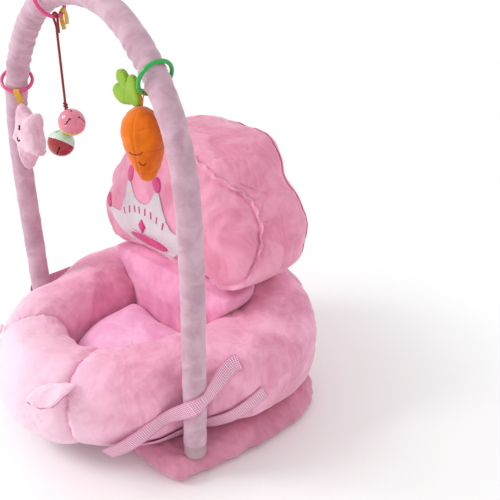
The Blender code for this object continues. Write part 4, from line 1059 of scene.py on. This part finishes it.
def ear_flap(node, name, material, padding, seed):
    """A thin sewn flap, padded at its root and bowed up at its tip."""
    piece = sculpted(node, name, 0.0014, 0.6, 8, 0)
    places, normals = skin_of(piece)
    tip = ramp(places[:, 1], EAR_TIP_Y, -0.055)
    puff = waves(places, 0.030, seed) * 0.0009 + waves(places, 0.013, seed + 1) * 0.0003
    places += normals * (puff + padding * (1.0 - tip))[:, None]
    middle = np.sign(places[:, 0]) * EAR_MIDDLE_X
    places[:, 2] += tip * (0.006 * np.cos((places[:, 0] - middle) * 95.0) - 0.002)
    put_points(piece, places)
    fitted(piece, "seat", node, material)


plush_ear = plush_finish("plush_ear", (238, 176, 204), (250, 206, 226), (252, 218, 234))
plush_lining = plush_finish("plush_lining", (190, 92, 124), (206, 108, 142), (214, 124, 156))
for side_name, seed in (("left", 91), ("right", 95)):
    ear_flap(f"{side_name}_ear", f"{side_name}_ear_top", plush_ear, 0.0005, seed)
    ear_flap(f"{side_name}_ear_lining", f"{side_name}_ear_under", plush_lining, 0.0, seed)


# The rings: three snap-together rings of glossy injection-moulded plastic on the sleeve, two pink and
# one green, 52 mm across the wire, each hanging on its low side from the arch.
RING_RADIUS = 0.0262
WIRE_RADIUS = 0.0030


def gloss_finish(name, colour, roughness=0.22):
    """Glossy plastic or enamel, a little deeper in tone in places."""
    low = tuple(int(value * 0.88) for value in colour)
    return speckled_finish(name, 30.0, 2.0, from_screen(*low), from_screen(*colour), roughness, 0.0001,
                           Coat_Weight=0.3)


ring_green = gloss_finish("ring_green", (14, 178, 70))
ring_pink = gloss_finish("ring_pink", (236, 76, 140))
for node, centre, normal, material, slot in (
        ("bell_ring", (-0.0727, -0.0998, 0.7250), (0.906, 0.137, 0.400), ring_pink, "ring_pink"),
        ("star_ring", (-0.2236, -0.1008, 0.5858), (0.555, -0.374, 0.743), ring_pink, "ring_pink"),
        ("carrot_ring", (0.1935, -0.1000, 0.6387), (-0.866, 0.0, 0.5), ring_green, "ring_green")):
    turn = Vector(normal).to_track_quat("Z", "Y").to_euler()
    bpy.ops.mesh.primitive_torus_add(location=centre, rotation=turn, major_radius=RING_RADIUS,
                                     minor_radius=WIRE_RADIUS, major_segments=96, minor_segments=20)
    ring = bpy.context.object
    ring.name = node + "_moulding"
    ring.data.name = ring.name
    select_only(ring)
    bpy.ops.object.transform_apply(location=True, rotation=True, scale=True)
    smooth_shaded(ring)
    fitted(ring, node, node, material)


# The ribbons: short loops of yellow satin ribbon folded over the rings' wires, one carrying the star
# and one left as two loose tails at the top ring.
ribbon_yellow = satin_finish("ribbon_yellow", (196, 138, 10), (240, 192, 40), 3200.0)
for node, body, ring_node, length, seed in (("star_ribbon", "star", "star_ring", 0.039, 101),
                                            ("bell_ribbon", "bell_ring", "bell_ring", 0.043, 102)):
    ribbon = copied(node, node + "_satin")
    applied(ribbon, "SUBSURF", levels=2, subdivision_type="SIMPLE")
    applied(ribbon, "SMOOTH", factor=0.3, iterations=2)
    smooth_shaded(ribbon)
    places, _ = skin_of(ribbon)
    places[:, 0] += waves(places * (0.4, 0.4, 1.0), 0.022, seed) * 0.0004
    put_points(ribbon, places)
    fitted(ribbon, body, node, ribbon_yellow)


# The carrot: a stuffed toy of orange velour with leaves of green felt, a closed eye and a smile sewn
# in brown thread, and a loop of orange thread from its top to the green ring.
CARROT_EYE = [(0.1748, -0.1366, 0.5410), (0.1784, -0.1352, 0.5386), (0.1844, -0.1329, 0.5380),
              (0.1897, -0.1299, 0.5392), (0.1931, -0.1279, 0.5429)]
CARROT_SMILE = [(0.1841, -0.1294, 0.5280), (0.1857, -0.1267, 0.5243), (0.1882, -0.1236, 0.5228),
                (0.1913, -0.1222, 0.5260)]
CARROT_BANDS = ((0.585, 0.9, -2.2), (0.572, 0.7, -0.4), (0.556, 0.8, -2.5), (0.541, 0.6, -0.2),
                (0.522, 0.7, -2.0), (0.510, 0.9, -0.6))
LEAF_FILL = 0.0034
carrot = sculpted("carrot", "carrot_body", 0.0022, 0.5, 5, 1)
carrot_low, carrot_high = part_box("carrot")
carrot_middle = (carrot_low + carrot_high) / 2
places, normals = skin_of(carrot)
turn = np.arctan2(places[:, 1] - carrot_middle.y, places[:, 0] - carrot_middle.x)
seam = np.exp(-((turn + math.radians(62)) / 0.05) ** 2)
bands = np.zeros(len(places))
for height, sweep, side in CARROT_BANDS:
    drop = (places[:, 2] - height - 0.004 * np.cos(turn * 2)) / 0.0016
    bands += np.exp(-drop ** 2) * np.exp(-((turn - side) / sweep) ** 2)
dents = bands * 0.0011 + seam * 0.0009
puff = waves(places, 0.030, 111) * 0.0006 + waves(places, 0.012, 112) * 0.00015
low = ramp(places[:, 2], 0.548, -0.048)
puff += low * ramp(places[:, 2], carrot_low.z - 0.004, 0.012) * 0.0045
pushed(carrot, places, normals, puff - dents)
carrot_plush = plush_finish("plush_orange", (201, 80, 6), (240, 128, 22), (234, 116, 19), 0.7)
fitted(carrot, "carrot", "carrot", carrot_plush)
carrot_thread = speckled_finish("face_thread", 2500.0, 2.0, from_screen(140, 44, 6),
                                from_screen(168, 62, 10), 0.8, 0.0002)


def sewn_line(name, points, on, radius, material, body, lift=0.0002):
    """A line of stitches laid along points on a piece's visible skin."""
    tree = tree_of(on)
    spots = [Vector(start).lerp(Vector(end), k / 4) for start, end in zip(points, points[1:])
             for k in range(4)]
    laid = []
    for spot in spots + [Vector(points[-1])]:
        nearest, facing, *_ = tree.find_nearest(spot)
        laid.append(tuple(nearest + facing * lift))
    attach(curve_through(name, laid, radius, material), body)


sewn_line("carrot_eye", CARROT_EYE, carrot, 0.0009, carrot_thread, "carrot")
sewn_line("carrot_smile", CARROT_SMILE, carrot, 0.0009, carrot_thread, "carrot")
leaves = sculpted("carrot_leaves", "carrot_leaf_tuft", 0.0013, 0.6, 8, 1)
places, normals = skin_of(leaves)
places[:, 1] += waves(places * (1.0, 0.2, 1.0), 0.040, 121) * 0.0010
leaf_low, leaf_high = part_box("carrot_leaves")
vein_x = (leaf_low.x + leaf_high.x) / 2 + 0.10 * (places[:, 2] - leaf_low.z)
vein = np.exp(-((places[:, 0] - vein_x) / 0.0009) ** 2)
fill = LEAF_FILL + waves(places, 0.015, 122) * 0.0003 - vein * 0.0010
pushed(leaves, places, normals * (1.25, 0.60, 1.25), fill)
leaf_finish = Finish("felt_green")
felt = leaf_finish.noise(leaf_finish.place(), 900.0, 3.0)
patch = leaf_finish.noise(leaf_finish.place(), 60.0, 3.0)
leaf_colour = leaf_finish.colour(patch * 0.6 + felt * 0.4, from_screen(104, 150, 8),
                                 from_screen(160, 200, 34))
felt_green = leaf_finish.surface(leaf_colour, 0.92, felt, 0.0005, Sheen_Weight=0.3)
fitted(leaves, "carrot", "carrot_leaves", felt_green)
painted("carrot_loop", carrot_plush)


# The star: a five-pointed pillow of pale pink velour with a dark sewn face, hung by one point from its
# ribbon.
STAR_EYE = [(-0.1655, -0.1335, 0.5192), (-0.1647, -0.1348, 0.5159), (-0.1652, -0.1356, 0.5117)]
STAR_SMILE = [(-0.1770, -0.1359, 0.4973), (-0.1762, -0.1365, 0.4922), (-0.1698, -0.1373, 0.4909),
              (-0.1631, -0.1375, 0.4948)]
star = sculpted("star", "star_body", 0.0020, 0.6, 6, 1)
places, normals = skin_of(star)
puff = waves(places, 0.035, 131) * 0.0008 + waves(places, 0.014, 132) * 0.0003
puff -= creases(places, 0.035, 0.10, 133) * 0.0010
pushed(star, places, normals, puff)
plush_star = plush_finish("plush_star", (214, 166, 186), (240, 204, 218), (244, 212, 224))
fitted(star, "star", "star", plush_star)
star_thread = speckled_finish("star_thread", 2500.0, 2.0, from_screen(22, 18, 20),
                              from_screen(46, 38, 42), 0.8, 0.0002)
sewn_line("star_eye", STAR_EYE, star, 0.0021, star_thread, "star", 0.0006)
sewn_line("star_smile", STAR_SMILE, star, 0.0011, star_thread, "star", 0.0004)


# The bells: two jingle bells pressed from thin steel in halves that meet at a flange, painted in gloss
# enamel, with dumbbell slots cut round each pole and a loose steel ball inside.
BELL_RADIUS = 0.0222
SLOTS_ROUND = 3
SLOT_START = math.radians(24)
SLOT_END = math.radians(58)
SLOT_HALF_WIDTH = 0.0009
SLOT_END_RADIUS = 0.0017
CUT_DEPTH = 0.010
BELLS = [("pink_bell", Vector((-0.0420, -0.1010, 0.5400)), Vector((0.55, -0.62, 0.56)).normalized(),
          Vector((0.70, -0.185, 0.668)).normalized(),
          (240, 138, 160), (232, 206, 66), "bell_pink", "bell_yellow"),
         ("white_bell", Vector((-0.0653, -0.1122, 0.5035)), Vector((0.30, -0.05, 0.95)).normalized(),
          Vector((-0.107, 0.520, 0.760)).normalized(),
          (214, 238, 226), (168, 34, 40), "bell_white", "bell_red")]


def slot_cutter(centre, pole, turn):
    """A slot with round ends that runs down from the pole of a half shell."""
    frame_turn = pole.to_track_quat("Z", "Y").to_matrix()
    pieces = []
    ways = []
    for share in (0.0, 0.25, 0.5, 0.75, 1.0):
        polar = SLOT_START + (SLOT_END - SLOT_START) * share
        level = math.sin(polar)
        local = Vector((level * math.cos(turn), level * math.sin(turn), math.cos(polar)))
        ways.append(frame_turn @ local)
    for index, way in enumerate(ways):
        size = SLOT_END_RADIUS if index in (0, 4) else SLOT_HALF_WIDTH
        bpy.ops.mesh.primitive_cylinder_add(vertices=16, radius=size, depth=CUT_DEPTH,
                                            location=centre + way * BELL_RADIUS,
                                            rotation=way.to_track_quat("Z", "Y").to_euler())
        pieces.append(bpy.context.object)
    for before, after in zip(ways, ways[1:]):
        way = (before + after).normalized()
        across = before.cross(after).normalized()
        along = across.cross(way)
        bpy.ops.mesh.primitive_cube_add(size=1.0, location=centre + way * BELL_RADIUS)
        block = bpy.context.object
        span = (after - before).length * BELL_RADIUS * 1.15
        turned = Matrix((along, across, way)).transposed().to_4x4()
        scale = Matrix.Diagonal((span, SLOT_HALF_WIDTH * 2, CUT_DEPTH, 1.0))
        block.data.transform(turned @ scale)
        pieces.append(block)
    return pieces


for bell, centre, packed_pole, pole, upper_colour, lower_colour, upper_slot, lower_slot in BELLS:
    roll = packed_pole.rotation_difference(pole).to_matrix().to_4x4()
    rolled = Matrix.Translation(centre) @ roll @ Matrix.Translation(-centre)
    for half, way, paint, slot in (("upper", pole, upper_colour, upper_slot),
                                   ("lower", -pole, lower_colour, lower_slot)):
        node = f"{bell}_{half}"
        shell = copied(node, node + "_shell")
        shell.data.transform(rolled)
        cutters = []
        for index in range(SLOTS_ROUND):
            turn = math.radians(120 * index + (95 if half == "upper" else 40))
            cutters += slot_cutter(centre, way, turn)
        for cutter in cutters:
            applied(shell, "BOOLEAN", operation="DIFFERENCE", object=cutter, solver="EXACT")
        for cutter in cutters:
            bpy.data.objects.remove(cutter)
        select_only(shell)
        bpy.ops.object.shade_smooth_by_angle(angle=math.radians(40))
        shell.data.materials.clear()
        fitted(shell, bell, node, gloss_finish(node + "_enamel", paint, 0.16))
    painted(bell + "_ball", speckled_finish(bell + "_ball_steel", 400.0, 2.0, (0.25, 0.25, 0.26, 1.0),
                                            (0.4, 0.4, 0.42, 1.0), 0.3, Metallic=1.0))


# The floor: a pale even surface that keeps the seat's soft shadow and runs out into white.
floor_finish = Finish("floor")
floor_x, floor_y, _ = floor_finish.parts(floor_finish.place())
distance = (floor_x * floor_x + (floor_y - 0.05) * (floor_y - 0.05)) ** 0.5
fade = floor_finish.share(distance, 0.36, 0.85)
seen = floor_finish.out("ShaderNodeLightPath", output="Is Camera Ray")
paint = floor_finish.out("ShaderNodeBsdfDiffuse", None, {"Color": (0.95, 0.95, 0.95, 1.0)})
glow = floor_finish.out("ShaderNodeEmission", None, {"Color": (1.0, 1.0, 1.0, 1.0), "Strength": 1.0})
mixed = floor_finish.out("ShaderNodeMixShader", None, {0: fade * seen, 1: paint, 2: glow})
floor_finish.node("ShaderNodeOutputMaterial", None, {"Surface": mixed})
bpy.ops.mesh.primitive_plane_add(size=8.0, location=(0.0, 0.0, 0.0))
floor = bpy.context.object
floor.name = "floor"
floor.data.materials.append(floor_finish.material)


# The light: an even bright room, and one large soft lamp above and in front of the seat's left.
room = Finish("room", bpy.data.worlds)
even = room.out("ShaderNodeBackground", None, {"Color": (1.0, 0.985, 0.985, 1.0), "Strength": 0.88})
white = room.out("ShaderNodeBackground", None, {"Color": (1.0, 1.0, 1.0, 1.0), "Strength": 1.0})
straight = room.out("ShaderNodeLightPath", output="Is Camera Ray")
shown = room.out("ShaderNodeMixShader", None, {0: straight, 1: even, 2: white})
room.node("ShaderNodeOutputWorld", None, {"Surface": shown})
bpy.context.scene.world = room.material
LAMP_PLACE = Vector((-1.6, -2.2, 2.4))
bpy.ops.object.light_add(type="AREA", location=LAMP_PLACE)
lamp = bpy.context.object
lamp.data.shape = "DISK"
lamp.data.size = 1.3
lamp.data.energy = 50.0
lamp.rotation_euler = (LAMP_PLACE - Vector((0.0, 0.0, 0.25))).to_track_quat("Z", "Y").to_euler()
bpy.context.scene.view_settings.view_transform = "Standard"
